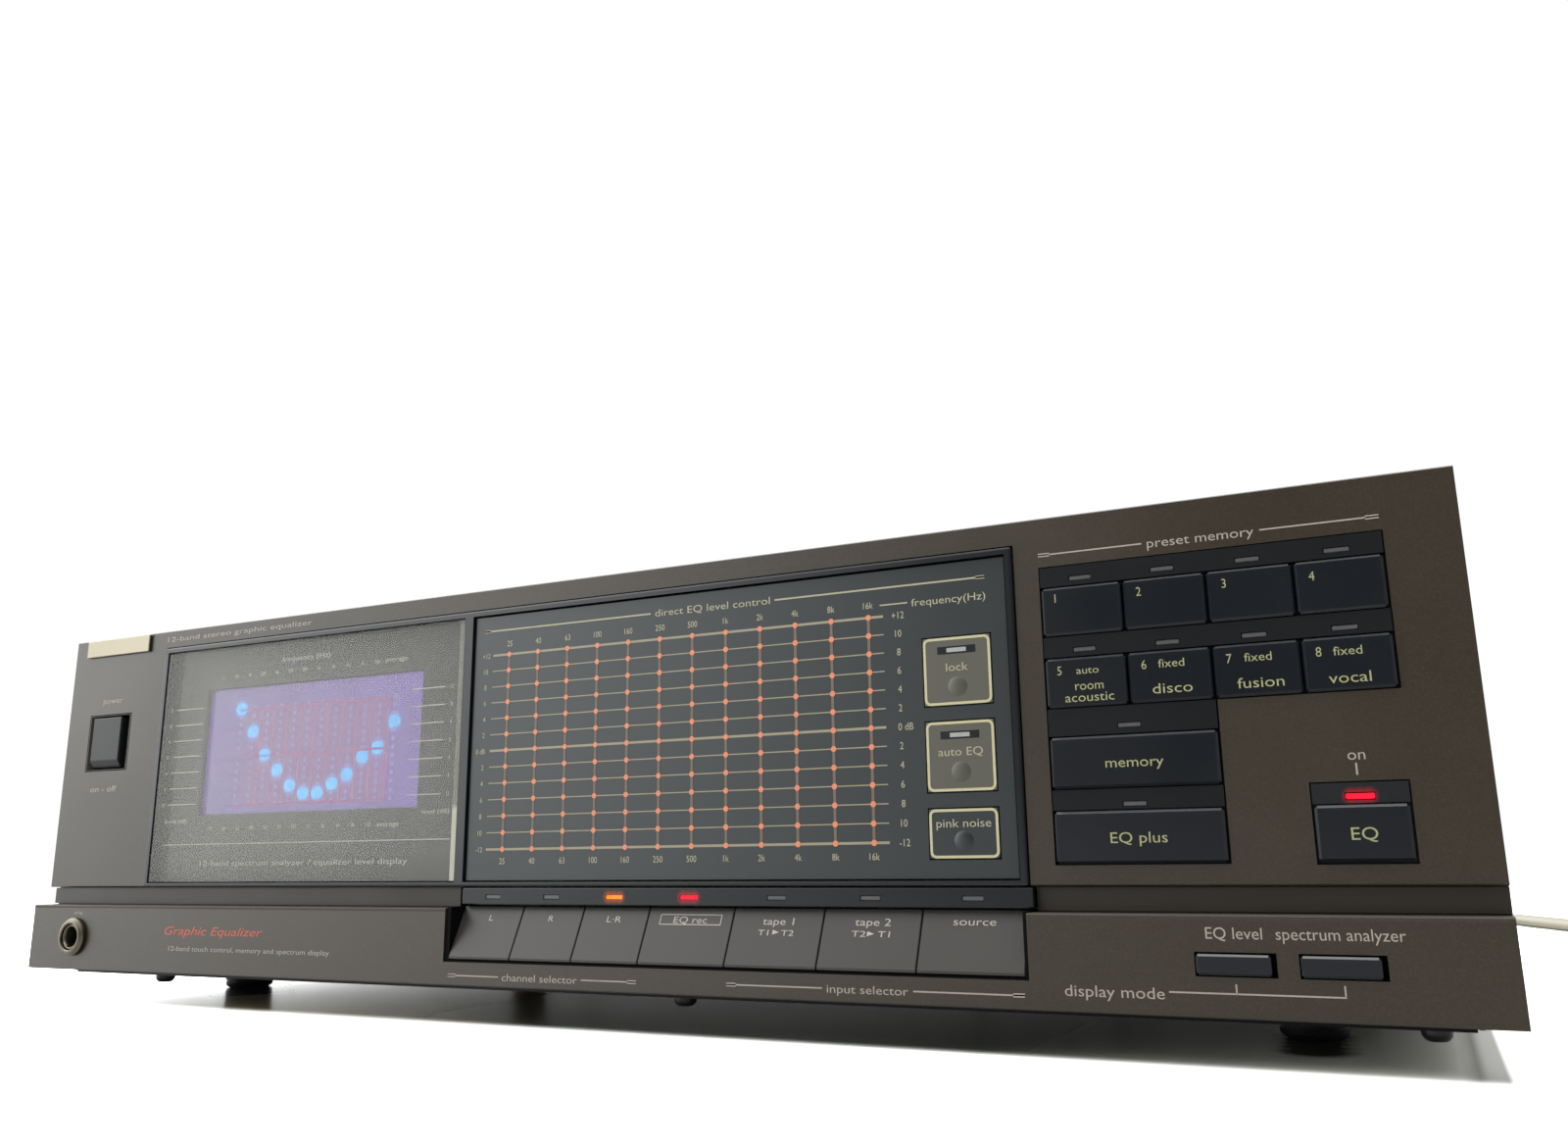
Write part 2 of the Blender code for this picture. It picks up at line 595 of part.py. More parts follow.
def make_jack_blocks():
    """Two boards of eight phono sockets, each a barrel with a bore, through the rear panel."""
    barrel = [(0, 0), (4.2, 0), (4.2, 8.2), (3.3, 8.7), (1.7, 8.7), (1.7, 2.5), (0, 2.5)]
    height = sum(JACK_Z) / 2
    for name, middle in zip(("line_jack_block", "tape_jack_block"), JACK_BLOCK_X):
        depth = (REAR_Y + GAP, REAR_Y + 1.8)
        plate = block(name, around(middle, 72.0), depth, around(height, 30.0), board_brown)
        foot = (around(middle, 64.0), (REAR_Y - 7.0, REAR_Y + 1.0), around(height, 20.0))
        combine(plate, boxes(f"{name}_foot", [foot]), "UNION")
        for i in range(4):
            for z in JACK_Z:
                x = middle + JACK_PITCH * (i - 1.5)
                socket = turned(f"{name}_socket", barrel, (x, REAR_Y + GAP, z), (0, 1, 0), steps=14)
                combine(plate, hidden(socket), "UNION")


def make_inside():
    """The power transformer, the boards and the mains switch."""
    x, y = 353.0, 169.0
    core = block("power_transformer", around(x, 66.0), around(y, 34.0), (-26.0, 30.0), laminations)
    combine(core, boxes("winding", [(around(x, 44.0), around(y, 52.0), (-16.0, 20.0))]), "UNION")
    board = block("main_board", (20.0, 300.0), (60.0, 235.0), (-16.0, -14.4), circuit_green)
    parts = [(around(48.0 + 30.0 * i, 16.0), around(98.0 + 60.0 * (i % 2), 16.0), (-15.0, 6.0))
             for i in range(8)]
    combine(board, boxes("board_parts", parts), "UNION")
    front = block("front_board", (12.0, 418.0), (16.0, 17.6), (-24.0, 77.5), circuit_green)
    stem_hole = (grown(POWER_CAP[0], 2.0), (10.0, 25.0), grown(POWER_STEM_Z, 2.5))
    combine(front, boxes("stem_hole", [stem_hole]))
    block("power_switch", grown(POWER_CAP[0], 1.0), (23.0, 48.0), (41.0, 54.0), board_brown, 0.4)


# ---------------------------------------------------------------- cord

def smooth_route(points, spacing):
    """Points about that far apart along a smooth curve through the route's own points."""
    route = [Vector(p) for p in points]
    ends = [2 * route[0] - route[1]] + route + [2 * route[-1] - route[-2]]
    fine = []
    for a, b, c, d in zip(ends, ends[1:], ends[2:], ends[3:]):
        for step in range(20):
            t = step / 20
            fine.append(0.5 * (2 * b + (c - a) * t + (2 * a - 5 * b + 4 * c - d) * t ** 2
                               + (3 * b - a - 3 * c + d) * t ** 3))
    fine.append(route[-1])
    walked = [0.0]
    for p, q in zip(fine, fine[1:]):
        walked.append(walked[-1] + (q - p).length)
    count = max(2, round(walked[-1] / spacing))
    picked = []
    for i in range(count + 1):
        want = walked[-1] * i / count
        k = min(range(len(walked)), key=lambda n: abs(walked[n] - want))
        picked.append(fine[k])
    return picked


def tube(name, points):
    """A round cord along the points, with closed ends."""
    data = bpy.data.curves.new(name, "CURVE")
    data.dimensions = "3D"
    data.bevel_depth = CORD_D / 2 * MM
    data.bevel_resolution = 2
    data.use_fill_caps = True
    spline = data.splines.new("POLY")
    spline.points.add(len(points) - 1)
    for spot, point in zip(spline.points, points):
        spot.co = (*(point * MM), 1.0)
    data.materials.append(cord_grey)
    piece = bpy.data.objects.new(name, data)
    bpy.context.scene.collection.objects.link(piece)
    piece.parent = datum
    return piece


def coil_centre():
    """The coil's centre, to the left of the way the cord comes in, seen along it."""
    outer = COIL_MEAN_R + CORD_D / 2
    dx, dy = COIL_HEADING
    return Vector((COIL_ENTRY[0] - dy * outer, COIL_ENTRY[1] + dx * outer, 0))


def make_cord():
    """The free stretch, the coil behind the unit and the tail, which ends at the plug."""
    turns = [math.radians(angle) for angle in LOOP_ANGLES]
    loop = [(LOOP_CENTRE[0] + LOOP_R * math.cos(t), LOOP_CENTRE[1] + LOOP_R * math.sin(t), CORD_Z)
            for t in turns]
    heading = Vector((*COIL_HEADING, 0))
    entry = Vector((*COIL_ENTRY, CORD_Z))
    stop = entry - heading * CLEAR_OF_COIL
    tube("mains_cord", smooth_route([*ROUTE_OUT, *loop, *ROUTE_BACK, stop], 2.5 * CORD_D))

    centre = coil_centre()
    height = COIL_HIGH * CORD_D
    inner, outer = around(COIL_MEAN_R, COIL_WIDE * CORD_D)
    ring = [(inner, 0), (outer, 0), (outer, height), (inner, height)]
    turned("cord_coil", ring, (centre.x, centre.y, TABLE_Z + 0.1), (0, 0, 1), cord_grey, 40)

    leave = 2 * centre - entry
    away = -heading
    top = CORD_Z + (COIL_HIGH - 1) * CORD_D
    fall = top - PLUG_AXIS_Z
    tail = []
    for share in (0.0, 0.25, 0.5, 0.75, 1.0):
        reach = CLEAR_OF_COIL + (TAIL_REACH - GAP - CLEAR_OF_COIL) * share
        ease = (reach / TAIL_REACH) ** 2 * (3 - 2 * reach / TAIL_REACH)
        spot = leave + away * reach
        tail.append((spot.x, spot.y, top - fall * ease))
    tube("cord_tail", smooth_route(tail, CORD_D))
    make_plug(leave + away * TAIL_REACH, away)


def make_plug(at, away):
    """A moulded two-blade plug that lies flat beside the coil."""
    wide, thick, long = PLUG_SIZE
    half = wide / 2
    right = [(4.5, 0), (half - 1.5, 9.0), (half, 14.0), (half, long)]
    taper = right + [(-x, y) for x, y in reversed(right)]
    plug = prism("plug", taper, "xy", (-thick / 2, thick / 2), cord_grey)
    blades = [(around(x, PRONG[1]), (long - 3, long + PRONG[2]), around(0, PRONG[0]))
              for x in (-PRONG_PITCH / 2, PRONG_PITCH / 2)]
    holder = boxes("plug_blades", blades)
    combine(plug, holder, "UNION")
    turn = Matrix.Rotation(math.atan2(away.y, away.x) - math.pi / 2, 4, "Z")
    spot = Vector((at.x, at.y, PLUG_AXIS_Z)) * MM
    for piece in (plug, holder):
        piece.matrix_local = Matrix.Translation(spot) @ turn
    return bevelled_first(plug, 1.6)


def bevelled_first(piece, width):
    """A bevel that comes before the piece's other modifiers."""
    bevelled(piece, width, 2)
    piece.modifiers.move(len(piece.modifiers) - 1, 0)
    return piece


def make_strain_relief():
    """The tapered boot where the cord leaves the rear panel."""
    neck = REAR_Y - 4.0
    collar, tip = REAR_Y + GAP - neck, RELIEF_TIP - neck
    profile = [(0, 0), (6.4, 0), (6.4, 2.4), (5.0, 2.6), (5.0, collar), (7.0, collar), (7.0, 6.6), (5.2, 9.0),
               (3.8, tip), (0, tip)]
    turned("strain_relief", profile, (RELIEF_AT[0], neck, RELIEF_AT[1]), (0, 1, 0), cord_grey, 24)


# ---------------------------------------------------------------- the part

for old in list(bpy.data.objects):
    bpy.data.objects.remove(old)

datum = bpy.data.objects.new("panel_datum", None)
datum.location = DATUM
bpy.context.scene.collection.objects.link(datum)

bronze = look("bronze paint", (0.060, 0.050, 0.042), 0.42, 0.6)
bronze_shade = look("dark bronze moulding", (0.045, 0.038, 0.032), 0.5)
cover_paint = look("cover paint", (0.035, 0.034, 0.034), 0.55)
steel = look("plated steel", (0.55, 0.55, 0.53), 0.35, 1.0)
black_gloss = look("black bezel", (0.012, 0.013, 0.015), 0.25)
black_matt = look("black moulding", (0.016, 0.017, 0.020), 0.45)
smoke = look("smoked acrylic", (0.20, 0.21, 0.22), 0.08)
tube_glass = look("display glass", (0.20, 0.14, 0.30), 0.1)
slate = look("touch film", (0.055, 0.065, 0.075), 0.35)
olive = look("touch key film", (0.12, 0.12, 0.105), 0.4)
key_black = look("key moulding", (0.022, 0.024, 0.029), 0.4)
selector_grey = look("selector key moulding", (0.055, 0.056, 0.060), 0.42)
bright_metal = look("badge metal", (0.70, 0.67, 0.62), 0.3, 1.0)
nickel = look("nickel", (0.55, 0.52, 0.46), 0.25, 1.0)
jack_black = look("jack moulding", (0.02, 0.02, 0.02), 0.4)
rubber = look("foot moulding", (0.010, 0.010, 0.010), 0.6)
laminations = look("transformer core", (0.18, 0.18, 0.18), 0.5, 0.8)
board_brown = look("phenolic board", (0.12, 0.07, 0.035), 0.6)
circuit_green = look("circuit board", (0.03, 0.10, 0.04), 0.5)
cord_grey = look("cord sheath", (0.55, 0.54, 0.50), 0.5)

make_top_cover()
make_chassis()
make_rear_panel()
make_feet()
make_upper_fascia()
make_lower_fascia()
make_front_frame()
make_window()
make_touch_panel()
make_bezels()
make_power_bezel()
make_selector_well()
make_led_strip()
make_badge()
make_preset_keys()
make_selector_keys()
make_mode_buttons()
make_power_button()
make_mic_jack()
make_jack_blocks()
make_inside()
make_cord()
make_strain_relief()
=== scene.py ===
"""Looks of the graphic equalizer: finishes, legends, lamps, screws, sockets and the mains cord.

Sizes are millimetres in the panel's own frame: x runs right from the fascia's left end, y runs back
from the upper fascia's face and z runs up from the seam below it. place() turns them into metres in
the part's frame.
"""

import math

import bmesh
import bpy
from mathutils import Matrix, Vector


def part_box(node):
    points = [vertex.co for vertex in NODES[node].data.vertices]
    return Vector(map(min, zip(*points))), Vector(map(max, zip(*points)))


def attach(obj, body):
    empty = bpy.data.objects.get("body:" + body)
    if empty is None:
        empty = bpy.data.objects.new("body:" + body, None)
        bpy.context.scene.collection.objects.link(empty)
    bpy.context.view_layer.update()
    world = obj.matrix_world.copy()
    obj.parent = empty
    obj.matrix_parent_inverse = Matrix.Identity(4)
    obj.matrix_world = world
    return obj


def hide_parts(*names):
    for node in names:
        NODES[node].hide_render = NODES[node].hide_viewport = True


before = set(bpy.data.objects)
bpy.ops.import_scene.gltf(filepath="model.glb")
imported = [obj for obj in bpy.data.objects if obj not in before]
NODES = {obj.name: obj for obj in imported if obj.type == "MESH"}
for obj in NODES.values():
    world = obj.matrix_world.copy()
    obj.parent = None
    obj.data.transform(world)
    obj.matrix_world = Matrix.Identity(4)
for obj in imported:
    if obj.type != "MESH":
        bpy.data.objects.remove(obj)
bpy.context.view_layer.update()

MM = 0.001
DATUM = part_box("upper_fascia")[0]

CASE = "case"
INK = 0.035
SUNK = 0.01
CAP_SHARE = 0.729

CORD_D = 6.2
CORD_R = CORD_D / 2
TABLE_Z = -DATUM.z / MM
CORD_Z = TABLE_Z + CORD_R + 0.1


def place(x, y, z):
    """A panel point in the part's frame, in metres."""
    return DATUM + Vector((x, y, z)) * MM


def reach(node):
    """A node's lowest and highest corners, in panel millimetres."""
    low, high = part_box(node)
    return (low - DATUM) / MM, (high - DATUM) / MM


def middle(node):
    low, high = reach(node)
    return (low + high) / 2


# ---- finishes

class Nodes:
    """Short ways to add nodes to a tree."""

    def __init__(self, tree):
        self.tree = tree

    def node(self, kind, **settings):
        made = self.tree.nodes.new("ShaderNode" + kind)
        for name, value in settings.items():
            setattr(made, name, value)
        return made

    def feed(self, socket, source):
        """Links an output, or sets a plain value."""
        if isinstance(source, bpy.types.NodeSocket):
            self.tree.links.new(source, socket)
        else:
            socket.default_value = source

    def axes(self, vector):
        """A vector's x, y and z."""
        made = self.node("SeparateXYZ")
        self.feed(made.inputs[0], vector)
        return made.outputs

    def math(self, operation, a, b=0.0, clamp=False):
        made = self.node("Math", operation=operation, use_clamp=clamp)
        self.feed(made.inputs[0], a)
        self.feed(made.inputs[1], b)
        return made.outputs[0]

    def product(self, first, *others):
        for other in others:
            first = self.math("MULTIPLY", first, other)
        return first

    def ranged(self, value, low, high, to_low=0.0, to_high=1.0, smooth=False):
        made = self.node("MapRange", interpolation_type="SMOOTHSTEP" if smooth else "LINEAR")
        for socket, source in zip(("Value", "From Min", "From Max", "To Min", "To Max"),
                                  (value, low, high, to_low, to_high)):
            self.feed(made.inputs[socket], source)
        return made.outputs["Result"]


class Finish(Nodes):
    """A Principled material whose colour, gloss and relief follow noise in the part's own frame."""

    def __init__(self, name, colour, roughness, metallic=0.0, **sockets):
        self.material = bpy.data.materials.new(name)
        self.material.use_nodes = True
        super().__init__(self.material.node_tree)
        self.shader = self.tree.nodes["Principled BSDF"]
        self.colour = colour
        self.roughness = roughness
        self.sets(Base_Color=(*colour, 1.0), Roughness=roughness, Metallic=metallic, **sockets)
        self.spot = self.node("TexCoord").outputs["Object"]
        self.bump = None

    def sets(self, **sockets):
        """Feeds the shader's sockets, named with _ for each space."""
        for name, source in sockets.items():
            self.feed(self.shader.inputs[name.replace("_", " ")], source)

    def stretched(self, stretch):
        """The position, scaled along each axis."""
        mapping = self.node("Mapping")
        self.feed(mapping.inputs["Vector"], self.spot)
        mapping.inputs["Scale"].default_value = stretch
        return mapping.outputs["Vector"]

    def noise(self, size, detail=3.0, stretch=(1.0, 1.0, 1.0)):
        """Noise whose features are about size millimetres across."""
        made = self.node("TexNoise")
        self.feed(made.inputs["Vector"], self.stretched(stretch))
        made.inputs["Scale"].default_value = 1.0 / (size * MM)
        made.inputs["Detail"].default_value = detail
        return made.outputs["Fac"]

    def mixed(self, share, a, b):
        """A colour between a and b."""
        made = self.node("Mix", data_type="RGBA")
        self.feed(made.inputs[0], share)
        self.feed(made.inputs[6], a if isinstance(a, bpy.types.NodeSocket) else (*a, 1.0))
        self.feed(made.inputs[7], b if isinstance(b, bpy.types.NodeSocket) else (*b, 1.0))
        return made.outputs[2]

    def near(self, spots, inner, outer):
        """1 within inner millimetres of the nearest panel point, falling to 0 at outer."""
        nearest = None
        for spot in spots:
            gap = self.node("VectorMath", operation="DISTANCE")
            self.feed(gap.inputs[0], self.spot)
            gap.inputs[1].default_value = place(*spot)
            gap = gap.outputs["Value"]
            nearest = gap if nearest is None else self.math("MINIMUM", nearest, gap)
        return self.ranged(nearest, inner * MM, outer * MM, 1.0, 0.0, smooth=True)

    def tint(self, share, spread):
        """Lets the colour range from darker to lighter by that share."""
        dark = [c * (1 - spread) for c in self.colour]
        light = [c * (1 + spread) for c in self.colour]
        self.sets(Base_Color=self.mixed(share, dark, light))

    def gloss(self, share, spread):
        rough = self.ranged(share, 0.3, 0.7, self.roughness - spread, self.roughness + spread)
        self.sets(Roughness=rough)

    def relief(self, height, depth, strength=1.0):
        """Adds a bump, depth millimetres deep, over any earlier one."""
        made = self.node("Bump")
        made.inputs["Strength"].default_value = strength
        made.inputs["Distance"].default_value = depth * MM
        self.feed(made.inputs["Height"], height)
        if self.bump:
            self.feed(made.inputs["Normal"], self.bump)
        self.bump = made.outputs["Normal"]
        self.sets(Normal=self.bump)


def moulded(name, colour, roughness, grain=0.35, depth=0.006, spread=0.10, metallic=0.0, spec=0.5):
    """Moulded plastic or paint: a fine even grain with slow changes of colour and gloss."""
    made = Finish(name, colour, roughness, metallic, Specular_IOR_Level=spec)
    fine = made.noise(grain, 2.0)
    slow = made.noise(26.0, 3.0)
    made.tint(made.math("ADD", made.math("MULTIPLY", fine, 0.5), made.math("MULTIPLY", slow, 0.5)), spread)
    made.gloss(slow, 0.3 * spread)
    made.relief(fine, depth)
    return made


def metal(name, colour, roughness, brushed=(1.0, 1.0, 1.0), size=0.6, depth=0.0012):
    """Bare or plated metal, with its grain drawn out along the axes whose stretch is small."""
    made = Finish(name, colour, roughness, 1.0)
    lines = made.noise(size, 3.0, brushed)
    slow = made.noise(14.0, 2.0)
    made.tint(made.math("ADD", made.math("MULTIPLY", lines, 0.4), made.math("MULTIPLY", slow, 0.6)), 0.08)
    made.gloss(slow, 0.03)
    made.relief(lines, depth)
    return made


def lamp(name, colour, strength, body=(0.05, 0.05, 0.05), **sockets):
    """A lens lit from behind, brightest in its own noise-soft middle."""
    made = Finish(name, body, 0.25, 0.0, Emission_Color=(*colour, 1.0), **sockets)
    glow = made.ranged(made.noise(2.2, 1.0), 0.3, 0.7, 0.8 * strength, 1.2 * strength)
    made.sets(Emission_Strength=glow)
    return made


def ink(name, colour, roughness=0.5):
    """Screen-printed ink, very slightly uneven."""
    made = Finish(name, colour, roughness)
    made.tint(made.noise(0.5, 2.0), 0.10)
    made.relief(made.noise(0.12, 1.0), 0.004)
    return made


def make_bronze():
    """Satin metallic paint: bright flakes in a warm brown coat, flatter on the bar's top bevel."""
    made = Finish("bronze_paint", (0.021, 0.0145, 0.008), 0.36, 0.0, Specular_IOR_Level=0.42)
    grain = made.noise(0.28, 2.0)
    flakes = made.node("TexVoronoi")
    made.feed(flakes.inputs["Vector"], made.spot)
    flakes.inputs["Scale"].default_value = 1 / (0.22 * MM)
    sparkle = made.ranged(flakes.outputs["Color"], 0.55, 1.0, 0.0, 0.7)
    slow = made.noise(40.0, 3.0)
    base = made.mixed(slow, (0.0185, 0.0128, 0.0070), (0.0235, 0.0165, 0.0092))
    height = made.axes(made.spot)["Z"]
    bevel = made.product(made.ranged(height, place(0, 0, -6.6).z, place(0, 0, -6.4).z),
                         made.ranged(height, place(0, 0, -5.0).z, place(0, 0, -4.8).z, 1.0, 0.0), 0.28)
    rough = made.ranged(slow, 0.3, 0.7, 0.33, 0.39)
    made.sets(Base_Color=made.mixed(sparkle, base, (0.042, 0.031, 0.019)),
              Roughness=made.math("ADD", rough, bevel))
    made.relief(grain, 0.006)
    return made


DISPLAY_X = [74.8 + 6.0 * i for i in range(12)]
ZERO_Z = 40.9
STEP_Z = 2.55
CURVE = (6, 3, 0, -2, -4, -5, -5, -4, -3, -1, 0, 3)
SCALE_X = (DISPLAY_X[0] - 0.5, DISPLAY_X[-1] - 2.4)
SCALE_Z = [ZERO_Z - 0.3 + STEP_Z * step for step in (-6, 0, 6)]


def make_tube_glass():
    """The display tube: violet glass over a fine control mesh, with a blue glow round each lit dot."""
    made = Finish("display_glass", (0.06, 0.045, 0.10), 0.12, 0.0, Emission_Color=(0.36, 0.17, 0.95, 1.0))
    low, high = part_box("fl_display")
    axes = made.axes(made.spot)
    pitch = 0.75 * MM
    bars = [made.math("ABSOLUTE", made.math("SINE", made.product(axes[i], math.pi / pitch))) for i in (0, 2)]
    mesh = made.ranged(made.math("MINIMUM", *bars), 0.10, 0.45)
    rim, clear = 2.6 * MM, 4.0 * MM
    inside = [made.ranged(axes[i], low[i] + rim, low[i] + clear, smooth=True) for i in (0, 2)]
    inside += [made.ranged(axes[i], high[i] - clear, high[i] - rim, 1.0, 0.0, smooth=True) for i in (0, 2)]
    across = made.ranged(axes["X"], low.x, high.x, 0.68, 1.02)
    cloud = made.ranged(made.noise(18.0, 2.0), 0.3, 0.7, 0.85, 1.1)
    lit = made.product(*inside, across, cloud, made.ranged(mesh, 0.0, 1.0, 0.29, 0.39))
    face = reach("fl_display")[0].y
    glow = made.near([(x, face, ZERO_Z + STEP_Z * level) for x, level in zip(DISPLAY_X, CURVE)], 1.2, 4.2)
    violet, magenta, blue = (0.36, 0.17, 0.95), (0.52, 0.16, 0.72), (0.05, 0.40, 1.0)
    left, right, low, high = *SCALE_X, SCALE_Z[0], SCALE_Z[-1]
    pink = made.product(*(made.ranged(axes[i], place(a, 0, a)[i], place(b, 0, b)[i], smooth=True)
                          for i, a, b in ((0, left - 3, left + 9), (0, right + 1, right - 1),
                                          (2, low - 1, low + 2), (2, high + 1, high - 1))))
    violet = made.mixed(pink, violet, magenta)
    strong = made.product(made.math("POWER", glow, 1.6), 0.8)
    made.sets(Emission_Color=made.mixed(made.math("POWER", glow, 0.7), violet, blue),
              Emission_Strength=made.math("ADD", lit, strong))
    return made


def make_circuit():
    """Green solder mask over faint tracks."""
    made = Finish("circuit_board", (0.03, 0.10, 0.04), 0.4)
    tracks = made.node("TexBrick")
    made.feed(tracks.inputs["Vector"], made.spot)
    for socket, value in (("Scale", 160.0), ("Color1", (0.022, 0.085, 0.032, 1.0)), ("Mortar Size", 0.03),
                          ("Color2", (0.030, 0.105, 0.042, 1.0)), ("Mortar", (0.07, 0.17, 0.07, 1.0))):
        tracks.inputs[socket].default_value = value
    made.sets(Base_Color=tracks.outputs["Color"])
    made.relief(tracks.outputs["Fac"], 0.05)
    return made


PLATED = ((0.50, 0.50, 0.47), 0.34, (0.12, 1.0, 1.0))
FINISHES = {
    "bronze_paint": make_bronze(),
    # A darker copy of the bronze paint: partly the moulding's own darker tone, partly painted shade of the
    # recessed band.
    "groove_moulding": moulded("groove_moulding", (0.017, 0.0122, 0.007), 0.42, spec=0.35),
    "cover_paint": moulded("cover_paint", (0.024, 0.0235, 0.0235), 0.50, 0.8, 0.05, 0.05),
    "plated_steel": metal("plated_steel", *PLATED),
    "foot_rubber": moulded("foot_rubber", (0.007, 0.007, 0.007), 0.55, 0.4, 0.02, spec=0.3),
    "black_gloss": moulded("black_gloss", (0.005, 0.006, 0.008), 0.22, 0.9, 0.002, spec=0.35),
    "black_matt": moulded("black_matt", (0.0045, 0.005, 0.0065), 0.40, 0.4, 0.006, spec=0.17),
    "display_glass": make_tube_glass(),
    "touch_film": moulded("touch_film", (0.017, 0.021, 0.023), 0.30, 1.1, 0.001, 0.04, spec=0.4),
    "touch_key_film": moulded("touch_key_film", (0.069, 0.066, 0.052), 0.36, 1.1, 0.002, 0.04, spec=0.4),
    "badge_metal": metal("badge_metal", (0.205, 0.184, 0.140), 0.36, (0.06, 1.0, 1.0), 0.4),
    "jack_black": moulded("jack_black", (0.016, 0.016, 0.016), 0.38),
    "nickel": metal("nickel", (0.165, 0.152, 0.105), 0.34),
    "phenolic": moulded("phenolic", (0.016, 0.015, 0.014), 0.45, 0.6, 0.01),
    "laminations": metal("laminations", (0.20, 0.20, 0.20), 0.45, (1.0, 0.05, 1.0), 0.5, 0.03),
    "circuit_board": make_circuit(),
    "cord_pvc": moulded("cord_pvc", (0.20, 0.18, 0.135), 0.45, 0.6, 0.01, 0.06, spec=0.35),
    "key_black": moulded("key_black", (0.0047, 0.0060, 0.0086), 0.25, 0.5, 0.003, spec=0.33),
    "selector_grey": moulded("selector_grey", (0.031, 0.0285, 0.026), 0.38, 0.5, 0.005, spec=0.27),
}


def make_smoke():
    """Smoked acrylic, seen through, with a faint haze and fine wiping marks in its gloss; its pale colour is
    partly dust haze and partly painted reflection.
    """
    made = Finish("smoked_acrylic", (0.34, 0.337, 0.312), 0.12, 0.0, Alpha=0.20, IOR=1.46)
    marks = made.noise(9.0, 2.0, (1.0, 1.0, 0.25))
    made.gloss(marks, 0.015)
    low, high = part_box("display_window")
    # Lighter towards the left, darker to the right: a painted reflection of the bright room on the left.
    across = made.ranged(made.axes(made.spot)["X"], low.x, high.x)
    cloud = made.ranged(made.noise(30.0, 2.0), 0.3, 0.7, -0.06, 0.06)
    share = made.math("ADD", across, cloud, clamp=True)
    made.sets(Base_Color=made.mixed(share, (0.40, 0.396, 0.372), (0.21, 0.209, 0.197)))
    return made


FINISHES["smoked_acrylic"] = make_smoke()

ORANGE_GLOW = (1.0, 0.17, 0.008)
RED_GLOW = (1.0, 0.004, 0.025)
SELECTOR_LIGHT_Z = -2.7
ORANGE_AT = (227.3, SELECTOR_LIGHT_Z)
RED_AT = (249.7, SELECTOR_LIGHT_Z)
EQ_LIGHT_AT = (405.9, 17.5)


def lit_round(node, source, *lights):
    """A black finish on which light spills round the lit lenses of one node."""
    made = moulded(node, source.colour, source.roughness, 0.5, 0.004, spec=0.3)
    face = reach(node)[0].y
    colour, total = (0.0, 0.0, 0.0), None
    for (x, z), glow in lights:
        spill = made.near([(x - 1.6, face, z), (x, face, z), (x + 1.6, face, z)], 0.5, 2.2)
        colour = made.mixed(made.ranged(spill, 0.0, 0.05), colour, glow)
        total = spill if total is None else made.math("ADD", total, spill)
    made.sets(Emission_Color=colour, Emission_Strength=made.product(total, 0.28))
    return made


def make_tray():
    """Plated steel with a black lip along the front."""
    made = metal("tray_steel", *PLATED)
    lip = place(0, reach("bottom_chassis")[0].y + 1.4, 0).y
    plated = made.shader.inputs["Base Color"].links[0].from_socket
    bare = made.ranged(made.axes(made.spot)["Y"], lip, lip + 0.2 * MM)
    made.sets(Base_Color=made.mixed(bare, (0.012, 0.012, 0.012), plated))
    return made


SPECIAL = {
    "bottom_chassis": make_tray(),
    "selector_well": moulded("selector_well", (0.0022, 0.0024, 0.003), 0.6, 0.3, 0.004, spec=0.05),
    "power_button": moulded("power_button", (0.007, 0.0075, 0.0085), 0.34, 0.5, 0.003, spec=0.22),
    # Grey rather than black: the mask carries part of the window's pale veil, which is partly dust haze and
    # partly painted reflection.
    "display_mask": moulded("display_mask", (0.09, 0.0895, 0.084), 0.6, 0.6, 0.004, 0.05, spec=0.2),
    "led_strip": lit_round("led_strip", FINISHES["black_gloss"],
                           (ORANGE_AT, ORANGE_GLOW), (RED_AT, RED_GLOW)),
    "eq_bezel": lit_round("eq_bezel", FINISHES["black_matt"], (EQ_LIGHT_AT, RED_GLOW)),
}


def dress_nodes():
    """Gives every CAD node its own finish, or the one that its slot names."""
    for name, piece in NODES.items():
        for place_holder in piece.material_slots:
            slot = place_holder.material.name.split(".")[0]
            place_holder.material = SPECIAL.get(name, FINISHES[slot]).material


# ---- mesh pieces

def linked(name, data):
    """A new object in the scene."""
    made = bpy.data.objects.new(name, data)
    bpy.context.scene.collection.objects.link(made)
    return made


def mesh_of(name, bm, finish):
    """A mesh of that finish, from a bmesh that it frees."""
    mesh = bpy.data.meshes.new(name)
    bm.to_mesh(mesh)
    bm.free()
    mesh.materials.append(finish.material)
    return mesh


def make_piece(name, bm, finish, body=CASE, smooth=None, replaces=None):
    """The bmesh, in the part's frame, as a piece that rides on a body and may stand for a CAD node."""
    bmesh.ops.recalc_face_normals(bm, faces=bm.faces)
    mesh = mesh_of(name, bm, finish)
    if smooth is not None:
        mesh.shade_smooth()
        mesh.set_sharp_from_angle(angle=math.radians(smooth))
    piece = linked(name, mesh)
    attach(piece, body)
    if replaces:
        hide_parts(replaces)
    return piece


def panel_box(bm, low, high):
    """A box between two panel corners."""
    low, high = place(*low), place(*high)
    size = high - low
    matrix = Matrix.Translation((low + high) / 2) @ Matrix.Diagonal((*size, 1.0))
    bmesh.ops.create_cube(bm, size=1.0, matrix=matrix)


def bridge(bm, near, far):
    """Faces between two closed rings of vertices."""
    for i in range(len(near)):
        j = (i + 1) % len(near)
        bm.faces.new((near[i], near[j], far[j], far[i]))


def standing(at, axis):
    """The matrix of a shape in millimetres that stands at a panel point along an axis."""
    turn = Vector((0, 0, 1)).rotation_difference(Vector(axis)).to_matrix().to_4x4()
    return Matrix.Translation(place(*at)) @ turn @ Matrix.Scale(MM, 4)


